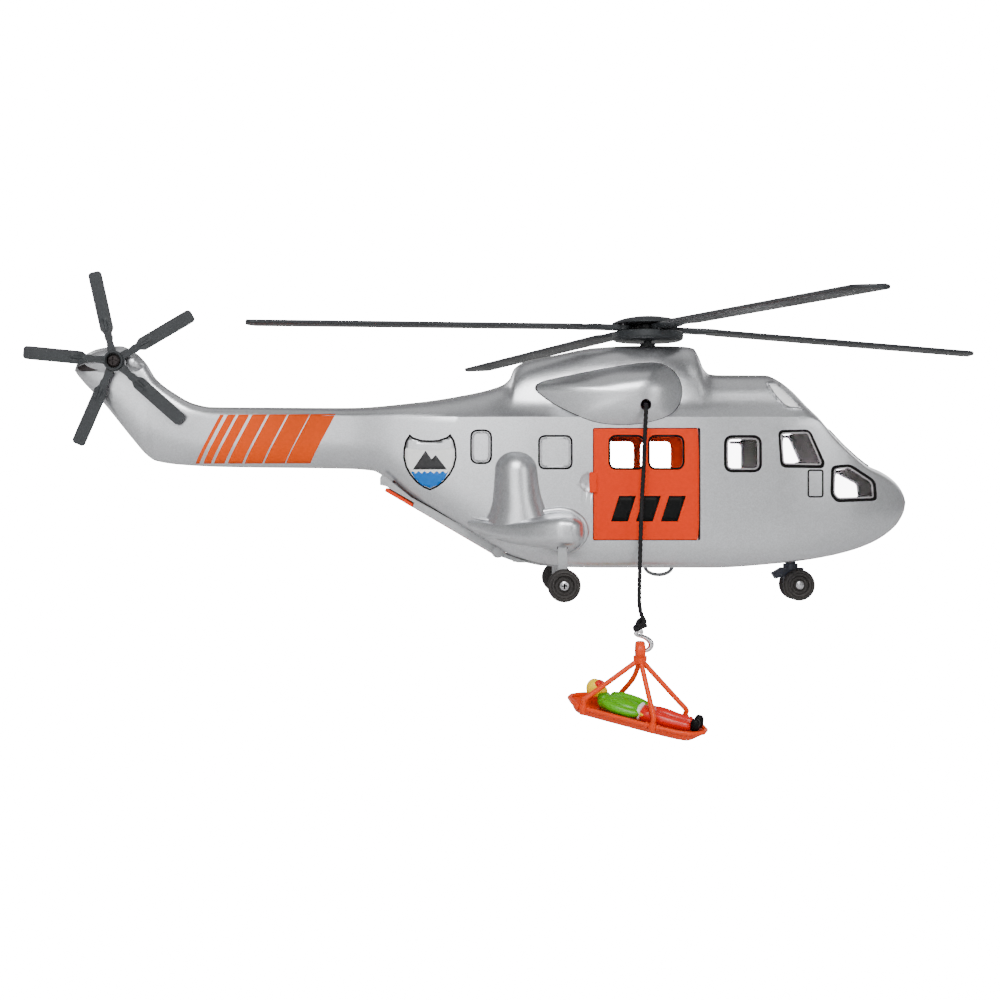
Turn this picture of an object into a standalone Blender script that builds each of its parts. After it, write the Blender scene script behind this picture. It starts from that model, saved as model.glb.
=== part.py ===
"""Helicopter scale model, 1:50, in flight with its stretcher hanging from the hoist.

Metres, +Z up, nose towards +X, starboard towards -Y. The origin is on the centre line, at belly
level, below the main rotor's axis. Sizes here are written in millimetres and scaled by MM.
"""
import math

import bmesh
import bpy
from mathutils import Matrix, Vector

MM = 0.001
GAP = 0.3
SEAM = 0.15
WALL = 1.4
STATION_STEP = 9.0
CLOSEST_STATIONS = 1.3

# Hull lines, each a list of (x, value) that a smooth curve goes through.
TOP_LINE = [(-218.3, 75.0), (-217.2, 78.5), (-213.2, 81.6), (-208.8, 83.3), (-201.1, 84.2),
            (-196.0, 82.0), (-191.8, 78.2), (-187.5, 71.6), (-180.7, 66.3), (-173.0, 62.2),
            (-166.2, 60.9), (-144.8, 60.7), (-113.5, 60.5), (-88.0, 62.5), (-71.0, 65.1),
            (-56.0, 68.9), (-52.8, 71.4), (-51.0, 75.4), (-46.5, 78.2), (-36.8, 80.3),
            (-19.8, 83.4), (-2.9, 84.2), (13.0, 83.9), (17.2, 83.2), (19.0, 80.2), (20.6, 76.0),
            (23.2, 73.4), (27.0, 73.0), (44.8, 72.9), (48.4, 71.4), (53.5, 67.5), (59.4, 60.5),
            (67.0, 52.1), (73.9, 45.2), (81.9, 39.0), (88.6, 36.1), (93.5, 32.8), (97.0, 28.4),
            (98.3, 24.8)]
BOTTOM_LINE = [(-218.3, 74.6), (-217.4, 73.1), (-207.1, 62.0), (-196.0, 48.3), (-191.0, 42.6),
               (-187.5, 40.3), (-179.0, 38.9), (-162.0, 38.0), (-113.5, 37.3), (-105.0, 36.6),
               (-101.0, 34.8), (-89.0, 26.2), (-70.8, 15.6), (-60.0, 9.0), (-52.0, 4.6),
               (-42.0, 1.9), (-33.0, 0.7), (-20.0, 0.0), (22.7, 0.0), (48.3, 1.7), (60.9, 3.2),
               (72.5, 5.4), (83.4, 8.8), (92.9, 14.5), (97.3, 20.4), (98.3, 24.2)]
HALF_WIDTH = [(-218.3, 1.6), (-213.0, 3.4), (-201.0, 4.2), (-191.0, 4.0), (-187.5, 4.2),
              (-180.0, 4.9), (-166.0, 6.4), (-145.0, 8.4), (-113.5, 12.4), (-95.0, 16.2),
              (-78.0, 18.8), (-60.0, 20.5), (-45.0, 21.0), (45.0, 21.0), (60.0, 19.7),
              (72.0, 17.1), (83.0, 12.8), (90.0, 9.2), (95.0, 5.6), (97.4, 2.8), (98.3, 0.9)]
SHOULDER_LINE = [(-218.3, 74.9), (-213.0, 78.0), (-201.0, 78.5), (-191.8, 72.0), (-187.5, 66.0),
                 (-180.7, 60.0), (-173.0, 56.5), (-160.0, 55.2), (-113.0, 56.0), (56.0, 56.0),
                 (61.0, 54.5), (67.0, 48.0), (73.9, 41.5), (81.9, 35.6), (88.6, 32.3),
                 (95.0, 27.6), (98.3, 24.6)]
UPPER_RATIO = [(-218.3, 1.0), (-112.0, 1.0), (-85.0, 0.9), (-60.0, 0.78), (44.0, 0.76),
               (54.0, 0.84), (64.0, 0.97), (98.3, 1.0)]
BELLY_RATIO = [(-218.3, 0.2), (-113.0, 0.25), (-90.0, 0.55), (45.0, 0.6), (98.3, 0.3)]
LOWER_POWER = [(-218.3, 2.0), (-120.0, 2.1), (-90.0, 2.8), (-60.0, 3.8), (45.0, 3.8),
               (70.0, 2.6), (98.3, 2.0)]
WIDEST_AT = 0.54
SHOULDER_RATIO = 0.972
UPPER_POWER = 2.3
LEDGE_HEIGHT = 9.0
LOWER_ROWS, SIDE_ROWS, LEDGE_ROWS, UPPER_ROWS = 5, 3, 3, 4
CAVITY = (-98.0, 93.0)

# Side openings, as (x low, x high, z low, z high).
DOOR_OPENING = (-22.1, 17.6, 10.4, 51.9)
DOOR_FRONT_GAP, DOOR_WALL = 0.5, 1.4
DOOR_WINDOWS = [(-15.6, -3.6, 37.2, 48.6), (-1.0, 11.0, 37.2, 48.6)]
DOOR_TAB = (-23.4, -20.6, 28.0, 35.5)
HINGE_X, HINGE_Y = 16.6, 19.9
PIN_RADIUS = 0.3
CABIN_WINDOW = (27.2, 39.3, 36.4, 48.3)
COCKPIT_WINDOW = [(46.9, 50.2), (57.7, 50.6), (62.6, 38.6), (47.9, 38.3)]
NOSE_WINDOW = [(67.0, 37.2), (73.5, 37.9), (83.2, 32.2), (83.8, 26.0), (68.6, 25.4), (66.7, 27.5)]
WINDSCREEN = [(65.6, 4.0), (81.0, 3.2), (81.0, 9.6), (67.0, 12.2)]

# Teardrop nacelle: outline in side view and where the cord leaves it.
NACELLE = [(-43.3, 67.0), (-40.5, 69.6), (-29.3, 72.2), (-12.7, 75.4), (0.5, 76.9), (6.5, 75.2),
           (10.4, 71.0), (11.6, 66.0), (10.4, 60.8), (6.0, 56.4), (-3.0, 53.7), (-12.7, 53.0),
           (-22.7, 54.4), (-33.4, 59.2), (-40.2, 63.6)]
NACELLE_CENTRE, NACELLE_TOP = (-7.0, 64.4), 24.2
CORD_HOLE = (-2.8, 60.3, 2.07)

# Sponson and the bell-shaped bulge above it, starboard values of |y|.
POD_KEYS = [(-67.0, 1.0, 18.2, 1.2), (-60.0, 3.6, 15.6, 3.4), (-52.0, 9.2, 13.6, 5.6),
            (-43.0, 15.2, 13.0, 7.3), (-35.0, 18.2, 13.2, 8.3), (-30.0, 17.8, 13.0, 8.0),
            (-27.0, 15.6, 12.9, 6.6), (-25.5, 11.8, 12.9, 4.2)]
POD_ROOT = 19.2
BELL_KEYS = [(14.0, -49.5, 11.2, 7.8), (18.5, -49.5, 9.4, 7.0), (24.0, -49.7, 7.7, 6.0),
             (31.0, -50.2, 6.8, 5.3), (37.0, -50.5, 6.2, 4.6), (40.6, -50.7, 4.6, 3.7),
             (42.4, -50.8, 2.2, 2.4)]

# Rotors.
MAST_RADIUS = 2.94
HUB_RADIUS, HUB_LOWER_Z, HUB_UPPER_Z = 13.6, (86.1, 89.3), (92.1, 95.3)
PIN_CIRCLE = 10.0
BLADE_Z = 90.7
BLADE_REACH, BLADE_DROOP = 144.6, 3.7
BLADE_AZIMUTHS = {"blade_1": 23.3, "blade_2": 116.2, "blade_3": 199.8, "blade_4": 290.2}
BLADE_PLAN = [(2.2, -2.3, 2.3), (7.0, -2.2, 2.2), (12.0, -2.6, 2.6), (17.0, -5.8, 3.8),
              (20.5, -5.8, 5.8), (139.0, -5.8, 5.8), (142.0, -3.9, 5.8), (144.0, -1.0, 5.2),
              (144.6, 1.0, 4.2)]
TAIL_HUB = (-202.0, 77.9)
TAIL_Y = (5.0, 8.6)
TAIL_PHASE, TAIL_RADIUS = 102.5, 34.4

# Landing gear.
WHEEL_RADIUS = 5.95
MAIN_WHEEL = (-33.4, 39.0, -5.5)
MAIN_WHEEL_WIDTH = 4.6
NOSE_WHEEL = (56.9, 4.6, -6.8)
NOSE_WHEEL_WIDTH = 3.8
NOSE_SWIVEL_X = 54.5
AXLE_RADIUS = 0.85

# Rear ramp: hinge point, slope and size.
RAMP_HINGE, RAMP_DROP = (-57.1, 6.2), 2.35
RAMP_SLOPE = math.radians(30.4)
RAMP_LENGTH, RAMP_HALF_WIDTH, RAMP_WALL = 49.2, 12.0, 1.4
RAMP_TAB = (37.4, 48.8)
BELLY_HALF = 12.0
CHEEK_TOP = [(-54.0, 5.0), (-60.6, 10.6), (-69.6, 15.2), (-89.6, 26.4), (-100.3, 35.0)]
CHEEK_RECESS = ([(-50.0, 0.0), (-50.0, 3.0)] + [(x + 0.2, z + 0.4) for x, z in CHEEK_TOP]
                + [(-101.6, 33.8), (-101.6, 20.0), (-60.0, 0.0)])

# Hoist: the cord's route, then the stretcher's own axes.
CORD_RADIUS = 0.85
CORD_ROUTE = [(-2.8, -20.0, 60.3), (-2.8, -23.5, 60.3), (-2.9, -26.0, 59.3), (-3.1, -27.0, 56.0),
              (-3.5, -27.1, 48.0), (-4.0, -27.0, 35.1), (-4.6, -27.0, 24.0), (-5.0, -27.0, 12.0),
              (-5.3, -27.0, 0.0), (-5.5, -27.0, -8.0), (-5.4, -27.0, -13.2), (-4.6, -27.0, -17.2)]
CORD_POINTS = 44
STRETCHER_CENTRE = Vector((-6.5, -27.0, -52.6))
STRETCHER_YAW, STRETCHER_PITCH, STRETCHER_ROLL = 22.0, 11.5, 12.0
BASKET_PLAN = [(-26.0, 1.6), (-22.5, 6.0), (-19.0, 8.0), (4.0, 8.2), (17.0, 7.6), (22.5, 5.8),
               (26.0, 2.0)]
BASKET_DEPTH, BASKET_WALL = 3.6, 1.2
COLLARS = [(-17.9, -8.0), (8.9, -8.0), (-9.2, 8.0), (16.2, 7.6)]
APEX = Vector((-5.2, -27.0, -33.0))
RING = (-29.7, 3.6, 1.35, 1.8)
WINCH = (-15.0, 64.0)


def clear_scene():
    for item in list(bpy.data.objects):
        bpy.data.objects.remove(item, do_unlink=True)


def new_collection(name, hidden=False):
    made = bpy.data.collections.new(name)
    bpy.context.scene.collection.children.link(made)
    made.hide_render = hidden
    return made


clear_scene()
MODEL = new_collection("helicopter_scale_model")
CUTTERS = new_collection("cutters", hidden=True)


def material(name, colour, roughness, metallic=0.0):
    made = bpy.data.materials.get(name)
    if made is None:
        made = bpy.data.materials.new(name)
        made.use_nodes = True
        shader = made.node_tree.nodes["Principled BSDF"]
        shader.inputs["Base Color"].default_value = (*colour, 1.0)
        shader.inputs["Roughness"].default_value = roughness
        shader.inputs["Metallic"].default_value = metallic
        made.diffuse_color = (*colour, 1.0)
    return made


def silver():
    return material("silver_paint", (0.46, 0.48, 0.50), 0.38, 0.6)


def orange():
    return material("orange_plastic", (0.85, 0.13, 0.02), 0.35)


def dark_grey():
    return material("dark_grey_plastic", (0.07, 0.075, 0.08), 0.5)


def light_grey():
    return material("light_grey_plastic", (0.38, 0.39, 0.40), 0.45)


def steel():
    return material("steel", (0.6, 0.6, 0.62), 0.25, 1.0)


def rubber():
    return material("tyre_plastic", (0.06, 0.055, 0.05), 0.6)


def navy():
    return material("navy_plastic", (0.02, 0.03, 0.07), 0.45)


def clear_plastic():
    return material("clear_plastic", (0.5, 0.5, 0.52), 0.1)


def cord_black():
    return material("cord_black", (0.03, 0.03, 0.03), 0.8)


def figure_paint():
    return material("figure_paint", (0.1, 0.5, 0.05), 0.4)


def through(keys, x):
    """Value at x on the smooth curve through keys, with no overshoot between them."""
    if x <= keys[0][0]:
        return keys[0][1]
    if x >= keys[-1][0]:
        return keys[-1][1]
    spans = [b[0] - a[0] for a, b in zip(keys, keys[1:])]
    rises = [(b[1] - a[1]) / s for (a, b), s in zip(zip(keys, keys[1:]), spans)]
    slopes = [rises[0]]
    for left, right in zip(rises, rises[1:]):
        slopes.append(0.0 if left * right <= 0 else 2 * left * right / (left + right))
    slopes.append(rises[-1])
    i = max(k for k in range(len(spans)) if keys[k][0] <= x)
    t = (x - keys[i][0]) / spans[i]
    low, high = keys[i][1], keys[i + 1][1]
    return ((1 + 2 * t) * (1 - t) ** 2 * low + t * (1 - t) ** 2 * spans[i] * slopes[i]
            + t * t * (3 - 2 * t) * high + t * t * (t - 1) * spans[i] * slopes[i + 1])


def hull_station(x, inset=0.0):
    """The sizes of the hull's cross-section at x: all that hull_y and section need."""
    top = through(TOP_LINE, x) - inset
    bottom = through(BOTTOM_LINE, x) + inset
    wide = max(through(HALF_WIDTH, x) - inset, 0.4)
    shoulder = min(through(SHOULDER_LINE, x), top - 0.15)
    shoulder = max(shoulder, bottom + 0.1)
    return {"top": top, "bottom": bottom, "wide": wide, "shoulder": shoulder,
            "widest": bottom + WIDEST_AT * (shoulder - bottom),
            "shoulder_half": wide * SHOULDER_RATIO,
            "upper_half": wide * SHOULDER_RATIO * through(UPPER_RATIO, x),
            "belly_half": wide * through(BELLY_RATIO, x),
            "power": through(LOWER_POWER, x)}


def hull_y(x, z, inset=0.0):
    """Half-width of the hull at x and height z."""
    s = hull_station(x, inset)
    if z <= s["widest"]:
        down = min(max((s["widest"] - z) / (s["widest"] - s["bottom"]), 0.0), 1.0)
        reach = (1 - down ** s["power"]) ** (1 / s["power"])
        return s["belly_half"] + (s["wide"] - s["belly_half"]) * reach
    if z <= s["shoulder"]:
        up = (z - s["widest"]) / (s["shoulder"] - s["widest"])
        return s["wide"] - (s["wide"] - s["shoulder_half"]) * up * up
    up = min((z - s["shoulder"]) / (s["top"] - s["shoulder"]), 1.0)
    ledge = max(1 - (z - s["shoulder"]) / LEDGE_HEIGHT, 0.0) ** 2.2
    round_part = s["upper_half"] * (1 - up ** UPPER_POWER) ** (1 / UPPER_POWER)
    return round_part + (s["shoulder_half"] - s["upper_half"]) * ledge * (1 - up ** 4)


def section_heights(x, inset=0.0):
    """Heights of the rows of points round the section, from the belly's edge to the top."""
    s = hull_station(x, inset)
    rows = []
    for k in range(LOWER_ROWS):
        angle = math.radians(90 * k / LOWER_ROWS)
        fall = math.cos(angle) ** (2 / s["power"])
        rows.append(s["widest"] - (s["widest"] - s["bottom"]) * fall)
    for k in range(SIDE_ROWS):
        rows.append(s["widest"] + (s["shoulder"] - s["widest"]) * k / SIDE_ROWS)
    ledge = min(LEDGE_HEIGHT, 0.4 * (s["top"] - s["shoulder"]))
    for k in range(LEDGE_ROWS):
        rows.append(s["shoulder"] + ledge * (k / LEDGE_ROWS) ** 1.3)
    for k in range(UPPER_ROWS + 1):
        angle = math.radians(90 * k / UPPER_ROWS)
        rows.append(s["shoulder"] + ledge
                    + (s["top"] - s["shoulder"] - ledge) * math.sin(angle) ** (2 / UPPER_POWER))
    return rows


def half_ring(x, centre_y, inset=0.0, first_row=0):
    """Half of the section at x, from the seam at the belly to the seam at the top."""
    heights = section_heights(x, inset)[first_row:]
    points = [(x, max(hull_y(x, z, inset), centre_y + 0.05), z) for z in heights]
    if first_row:
        return points + [(x, 0.0, heights[-1])]
    return [(x, centre_y, heights[0])] + points + [(x, centre_y, heights[-1])]


def stations(low, high):
    """Stations along x: the hull lines' own keys, thinned where close and filled where far."""
    keys = sorted({x for line in (TOP_LINE, BOTTOM_LINE) for x, _ in line if low < x < high})
    kept = [low]
    for x in keys + [high]:
        if x - kept[-1] < CLOSEST_STATIONS:
            if x == high:
                kept[-1] = high
            continue
        parts = math.ceil((x - kept[-1]) / STATION_STEP)
        start = kept[-1]
        kept += [start + (x - start) * k / parts for k in range(1, parts + 1)]
    return kept


def finish_mesh(name, mesh_bm, finish, collection=None, smooth=True):
    """A new object from mesh_bm, whose points are in millimetres."""
    bmesh.ops.recalc_face_normals(mesh_bm, faces=mesh_bm.faces)
    bmesh.ops.scale(mesh_bm, vec=(MM, MM, MM), verts=mesh_bm.verts)
    mesh = bpy.data.meshes.new(name)
    mesh_bm.to_mesh(mesh)
    mesh_bm.free()
    mesh.materials.append(finish)
    if smooth:
        mesh.shade_smooth()
        mesh.set_sharp_from_angle(angle=math.radians(35))
    made = bpy.data.objects.new(name, mesh)
    (collection or MODEL).objects.link(made)
    if collection is CUTTERS:
        made.hide_render = True
        made.display_type = "WIRE"
    return made


def loft(name, rings, finish, collection=None):
    """A closed solid through rings of equally many points, flat at both ends."""
    bm = bmesh.new()
    rows = [[bm.verts.new(p) for p in ring] for ring in rings]
    count = len(rings[0])
    for a, b in zip(rows, rows[1:]):
        for k in range(count):
            n = (k + 1) % count
            bm.faces.new((a[k], a[n], b[n], b[k]))
    bm.faces.new(rows[0])
    bm.faces.new(rows[-1])
    return finish_mesh(name, bm, finish, collection)


def slab(name, outline, low, high, finish, collection=None, axis="Y"):
    """A flat outline made thick along Y (outline in x, z) or along Z (outline in x, y)."""
    bm = bmesh.new()
    place = (lambda p, h: (p[0], h, p[1])) if axis == "Y" else (lambda p, h: (p[0], p[1], h))
    face = bm.faces.new([bm.verts.new(place(p, low)) for p in outline])
    moved = bmesh.ops.extrude_face_region(bm, geom=[face])["geom"]
    shift = Vector(place((0, 0), high - low))
    bmesh.ops.translate(bm, vec=shift, verts=[v for v in moved if isinstance(v, bmesh.types.BMVert)])
    return finish_mesh(name, bm, finish, collection)


def block(name, low, high, finish, collection=None):
    bm = bmesh.new()
    size = Vector(high) - Vector(low)
    centre = (Vector(high) + Vector(low)) / 2
    bmesh.ops.create_cube(bm, matrix=Matrix.Translation(centre) @ Matrix.Diagonal((*size, 1.0)))
    return finish_mesh(name, bm, finish, collection)


def rod(name, start, end, radius, finish, collection=None, sides=16, radius_end=None):
    """A round bar from start to end."""
    start, end = Vector(start), Vector(end)
    along = end - start
    place = Matrix.Translation((start + end) / 2) @ along.to_track_quat("Z", "Y").to_matrix().to_4x4()
    bm = bmesh.new()
    bmesh.ops.create_cone(bm, cap_ends=True, segments=sides, radius1=radius,
                          radius2=radius if radius_end is None else radius_end,
                          depth=along.length, matrix=place)
    return finish_mesh(name, bm, finish, collection)


def ball(name, centre, radii, finish, collection=None, turn=None):
    bm = bmesh.new()
    place = Matrix.Translation(centre) @ (turn or Matrix()) @ Matrix.Diagonal((*radii, 1.0))
    bmesh.ops.create_uvsphere(bm, u_segments=12, v_segments=7, radius=1.0, matrix=place)
    return finish_mesh(name, bm, finish, collection)


def turned(name, profile, centre, finish, axis="Z", sides=24, closed=False):
    """A turned piece. profile is (radius, height) down the outer side; closed for a ring."""
    mesh = bpy.data.meshes.new(name)
    edges = [(k, k + 1) for k in range(len(profile) - 1)]
    if closed:
        edges.append((len(profile) - 1, 0))
    mesh.from_pydata([(r * MM, 0.0, h * MM) for r, h in profile], edges, [])
    mesh.materials.append(finish)
    made = bpy.data.objects.new(name, mesh)
    made.location = Vector(centre) * MM
    made.rotation_euler = {"Z": (0, 0, 0), "Y": (math.radians(-90), 0, 0),
                           "-Y": (math.radians(90), 0, 0)}[axis]
    screw = made.modifiers.new("turn", "SCREW")
    screw.steps = screw.render_steps = sides
    screw.use_merge_vertices = True
    screw.merge_threshold = 0.00001
    screw.use_smooth_shade = True
    MODEL.objects.link(made)
    return made


def combine(target, tool, operation):
    """Adds a Boolean to target. The tool moves to the cutters."""
    if tool.name in MODEL.objects:
        MODEL.objects.unlink(tool)
        CUTTERS.objects.link(tool)
    tool.hide_render = True
    tool.display_type = "WIRE"
    change = target.modifiers.new(tool.name, "BOOLEAN")
    change.operation = operation
    change.solver = "EXACT"
    change.object = tool


def cut(target, tool):
    combine(target, tool, "DIFFERENCE")


def join(target, tool):
    combine(target, tool, "UNION")


def rounded(corners, radius, steps=3):
    """The polygon through corners with each corner rounded."""
    made = []
    count = len(corners)
    for k in range(count):
        before, here, after = (Vector(corners[(k + d) % count]) for d in (-1, 0, 1))
        into, out = (before - here).normalized(), (after - here).normalized()
        reach = min(radius, 0.45 * (before - here).length, 0.45 * (after - here).length)
        start, end = here + into * reach, here + out * reach
        for j in range(steps + 1):
            t = j / steps
            made.append(tuple(start * (1 - t) ** 2 + here * 2 * t * (1 - t) + end * t * t))
    return made


def rectangle(low_x, high_x, low_z, high_z):
    return [(low_x, low_z), (high_x, low_z), (high_x, high_z), (low_x, high_z)]


def side_of(points, side):
    """Points of a piece given with |y|, put on starboard (-1) or port (1)."""
    return [(x, side * y, z) for x, y, z in points]


def side_range(side, low, high):
    return (low, high) if side > 0 else (-high, -low)


def superellipse(count, power):
    """Points of a unit superellipse, all the way round."""
    points = []
    for k in range(count):
        angle = 2 * math.pi * (k + 0.5) / count
        c, s = math.cos(angle), math.sin(angle)
        points.append((math.copysign(abs(c) ** (2 / power), c),
                       math.copysign(abs(s) ** (2 / power), s)))
    return points


def pod(side):
    rings = []
    for x, proud, middle, half in POD_KEYS:
        rings.append([(x, side * (POD_ROOT + proud * max(a, -0.1) if a > 0 else POD_ROOT - 1.5),
                       middle + half * b) for a, b in superellipse(16, 3.0)])
    return loft("pod_" + SIDE_NAMES[side], rings, silver(), CUTTERS)


def bell(side):
    rings = []
    for z, middle, half, proud in BELL_KEYS:
        rings.append([(middle + half * a,
                       side * (POD_ROOT + proud * b if b > 0 else POD_ROOT - 1.5), z)
                      for a, b in superellipse(16, 2.6)])
    return loft("bell_" + SIDE_NAMES[side], rings, silver(), CUTTERS)


SIDE_NAMES = {-1: "right", 1: "left"}


def cavity(side):
    rings = []
    for x in stations(*CAVITY):
        ring = half_ring(x, -1.0, WALL)
        rings.append(side_of(ring, side))
    return loft("cavity_" + SIDE_NAMES[side], rings, silver(), CUTTERS)


def ramp_line(s, lift=0.0):
    """The point (x, z) at distance s up the ramp's outer face, lifted off it by lift."""
    along = (-math.cos(RAMP_SLOPE), math.sin(RAMP_SLOPE))
    up = (math.sin(RAMP_SLOPE), math.cos(RAMP_SLOPE))
    return (RAMP_HINGE[0] + along[0] * s + up[0] * lift,
            RAMP_HINGE[1] - RAMP_DROP + along[1] * s + up[1] * lift)


def hull_cutters(side):
    """Everything cut out of one shell."""
    name = SIDE_NAMES[side]
    deep = side_range(side, 8.0, 32.0)
    flat = silver()
    tools = [
        slab("door_opening_" + name, rectangle(*DOOR_OPENING), *deep, flat, CUTTERS),
        slab("cabin_window_" + name, rounded(rectangle(*CABIN_WINDOW), 2.4), *deep, flat, CUTTERS),
        slab("cockpit_window_" + name, rounded(COCKPIT_WINDOW, 1.6), *deep, flat, CUTTERS),
        slab("nose_window_" + name, rounded(NOSE_WINDOW, 1.4), *side_range(side, 5.0, 32.0), flat,
             CUTTERS),
        slab("nacelle_opening_" + name, NACELLE, *deep, flat, CUTTERS),
        slab("ramp_opening_" + name, [ramp_line(48.5, -8.0), ramp_line(-6.0, -8.0),
                                      ramp_line(-6.0, 9.0), ramp_line(48.5, 9.0)],
             *side_range(side, -1.0, 12.4), flat, CUTTERS),
        block("belly_opening_" + name, (-60.0, side_range(side, -1.0, BELLY_HALF)[0], -3.0),
              (24.0, side_range(side, -1.0, BELLY_HALF)[1], 3.2), flat, CUTTERS),
        block("hinge_opening_" + name, (-65.0, side_range(side, -1.0, 15.6)[0], -5.0),
              (-44.6, side_range(side, -1.0, 15.6)[1], 9.6), flat, CUTTERS),
        slab("cheek_recess_" + name, CHEEK_RECESS, *side_range(side, 12.0, 14.7), flat, CUTTERS),
        rod("mast_hole_" + name, (0, 0, 78), (0, 0, 90), MAST_RADIUS + 0.5, flat, CUTTERS),
        rod("swivel_hole_" + name, (NOSE_SWIVEL_X, 0, -2), (NOSE_SWIVEL_X, 0, 6), 2.4, flat, CUTTERS),
        block("pin_notch_" + name, (HINGE_X - 0.7, side_range(side, 16.5, HINGE_Y + 0.55)[0], 8.4),
              (HINGE_X + 0.7, side_range(side, 16.5, HINGE_Y + 0.55)[1], 53.9), flat, CUTTERS),
        block("strut_pocket_" + name,
              (MAIN_WHEEL[0] - 2.3, side_range(side, 31.6, 34.6)[0], -2.0),
              (MAIN_WHEEL[0] + 1.5, side_range(side, 31.6, 34.6)[1], 9.4), flat, CUTTERS),
        slab("windscreen_opening_" + name, [(x, side * y) for x, y in WINDSCREEN],
             36.0, 60.0, flat, CUTTERS, axis="Z"),
    ]
    return tools


def fuselage_shell(side):
    name = SIDE_NAMES[side]
    rings = [side_of(half_ring(x, SEAM), side) for x in stations(-218.2, 98.2)]
    shell = loft("fuselage_" + name + "_shell", rings, silver())
    join(shell, pod(side))
    join(shell, bell(side))
    cut(shell, cavity(side))
    for tool in hull_cutters(side):
        cut(shell, tool)
    if side < 0:
        cut(shell, rod("tail_screw_hole", (TAIL_HUB[0], -8.0, TAIL_HUB[1]),
                       (TAIL_HUB[0], -1.0, TAIL_HUB[1]), 1.5, silver(), CUTTERS))
    return shell


def nacelle(side):
    """A domed teardrop cover with a wall, whose rim stands a little proud of the hull."""
    name = SIDE_NAMES[side]
    scales = (0.3, 0.6, 0.85, 1.0)
    centre = Vector(NACELLE_CENTRE)
    bm = bmesh.new()

    def layer(shrink, drop):
        rows = []
        for scale in scales:
            row = []
            for x, z in NACELLE:
                edge = centre + (Vector((x, z)) - centre) * shrink
                point = centre + (edge - centre) * scale
                rim = hull_y(edge.x, edge.y) + 0.5
                depth = NACELLE_TOP - (NACELLE_TOP - rim) * scale ** 2.6 - drop
                row.append(bm.verts.new((point.x, side * depth, point.y)))
            rows.append(row)
        tip = bm.verts.new((centre.x, side * (NACELLE_TOP - drop), centre.y))
        count = len(NACELLE)
        for k in range(count):
            bm.faces.new((tip, rows[0][k], rows[0][(k + 1) % count]))
        for a, b in zip(rows, rows[1:]):
            for k in range(count):
                n = (k + 1) % count
                bm.faces.new((a[k], b[k], b[n], a[n]))
        return rows[-1]

    outer = layer(0.975, 0.0)
    inner = layer(0.92, WALL)
    for k in range(len(outer)):
        n = (k + 1) % len(outer)
        bm.faces.new((outer[k], outer[n], inner[n], inner[k]))
    cover = finish_mesh("nacelle_" + name, bm, silver())
    if side < 0:
        x, z, radius = CORD_HOLE
        cut(cover, rod("cord_hole", (x, -34, z), (x, -12, z), radius, silver(), CUTTERS))
    else:
        x, z = WINCH
        cut(cover, rod("spindle_hole", (x, 34, z), (x, 12, z), 1.7, silver(), CUTTERS))
    return cover


def door(side):
    """A door panel with the hull's curve, two open windows, a finger tab and a hinge groove."""
    name = SIDE_NAMES[side]
    x0, x1, z0, z1 = DOOR_OPENING
    x0, x1, z0, z1 = x0 + GAP, x1 - DOOR_FRONT_GAP, z0 + GAP, z1 - GAP
    columns = [x0, (x0 + x1) / 2, x1 - 1.6, x1]
    rows = 9
    rings = []
    for x in columns:
        ease = 0.45 if x == x1 else 0.0
        heights = [z0 + (z1 - z0) * k / (rows - 1) for k in range(rows)]
        outer = [(x, side * (hull_y(x, z) - ease), z) for z in heights]
        inner = [(x, side * (hull_y(x, z) - DOOR_WALL), z) for z in reversed(heights)]
        rings.append(outer + inner)
    panel = loft("door_" + name, rings, orange())
    for k, window in enumerate(DOOR_WINDOWS):
        cut(panel, slab(f"door_window_{k}_{name}", rounded(rectangle(*window), 2.4),
                        *side_range(side, 12.0, 30.0), orange(), CUTTERS))
    tx0, tx1, tz0, tz1 = DOOR_TAB
    y0, y1 = side_range(side, 21.25, 22.1)
    tab = block("tab_" + name, (tx0, y0, tz0), (tx1, y1, tz1), orange(), CUTTERS)
    y0, y1 = side_range(side, 20.2, 21.6)
    root = block("tab_root_" + name, (-21.6, y0, tz0), (tx1, y1, tz1), orange(), CUTTERS)
    join(panel, root)
    join(panel, tab)
    y0, y1 = side_range(side, 17.0, HINGE_Y + 0.5)
    groove = block("groove_" + name, (HINGE_X - 0.5, y0, z0 - 1), (HINGE_X + 0.5 + 0.4, y1, z1 + 1),
                   orange(), CUTTERS)
    cut(panel, groove)
    return panel


def door_pin(side):
    y = side * (HINGE_Y + 0.05)
    return rod("door_hinge_pin_" + SIDE_NAMES[side], (HINGE_X, y, 8.8), (HINGE_X, y, 53.5),
               PIN_RADIUS, steel(), sides=10)


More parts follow.
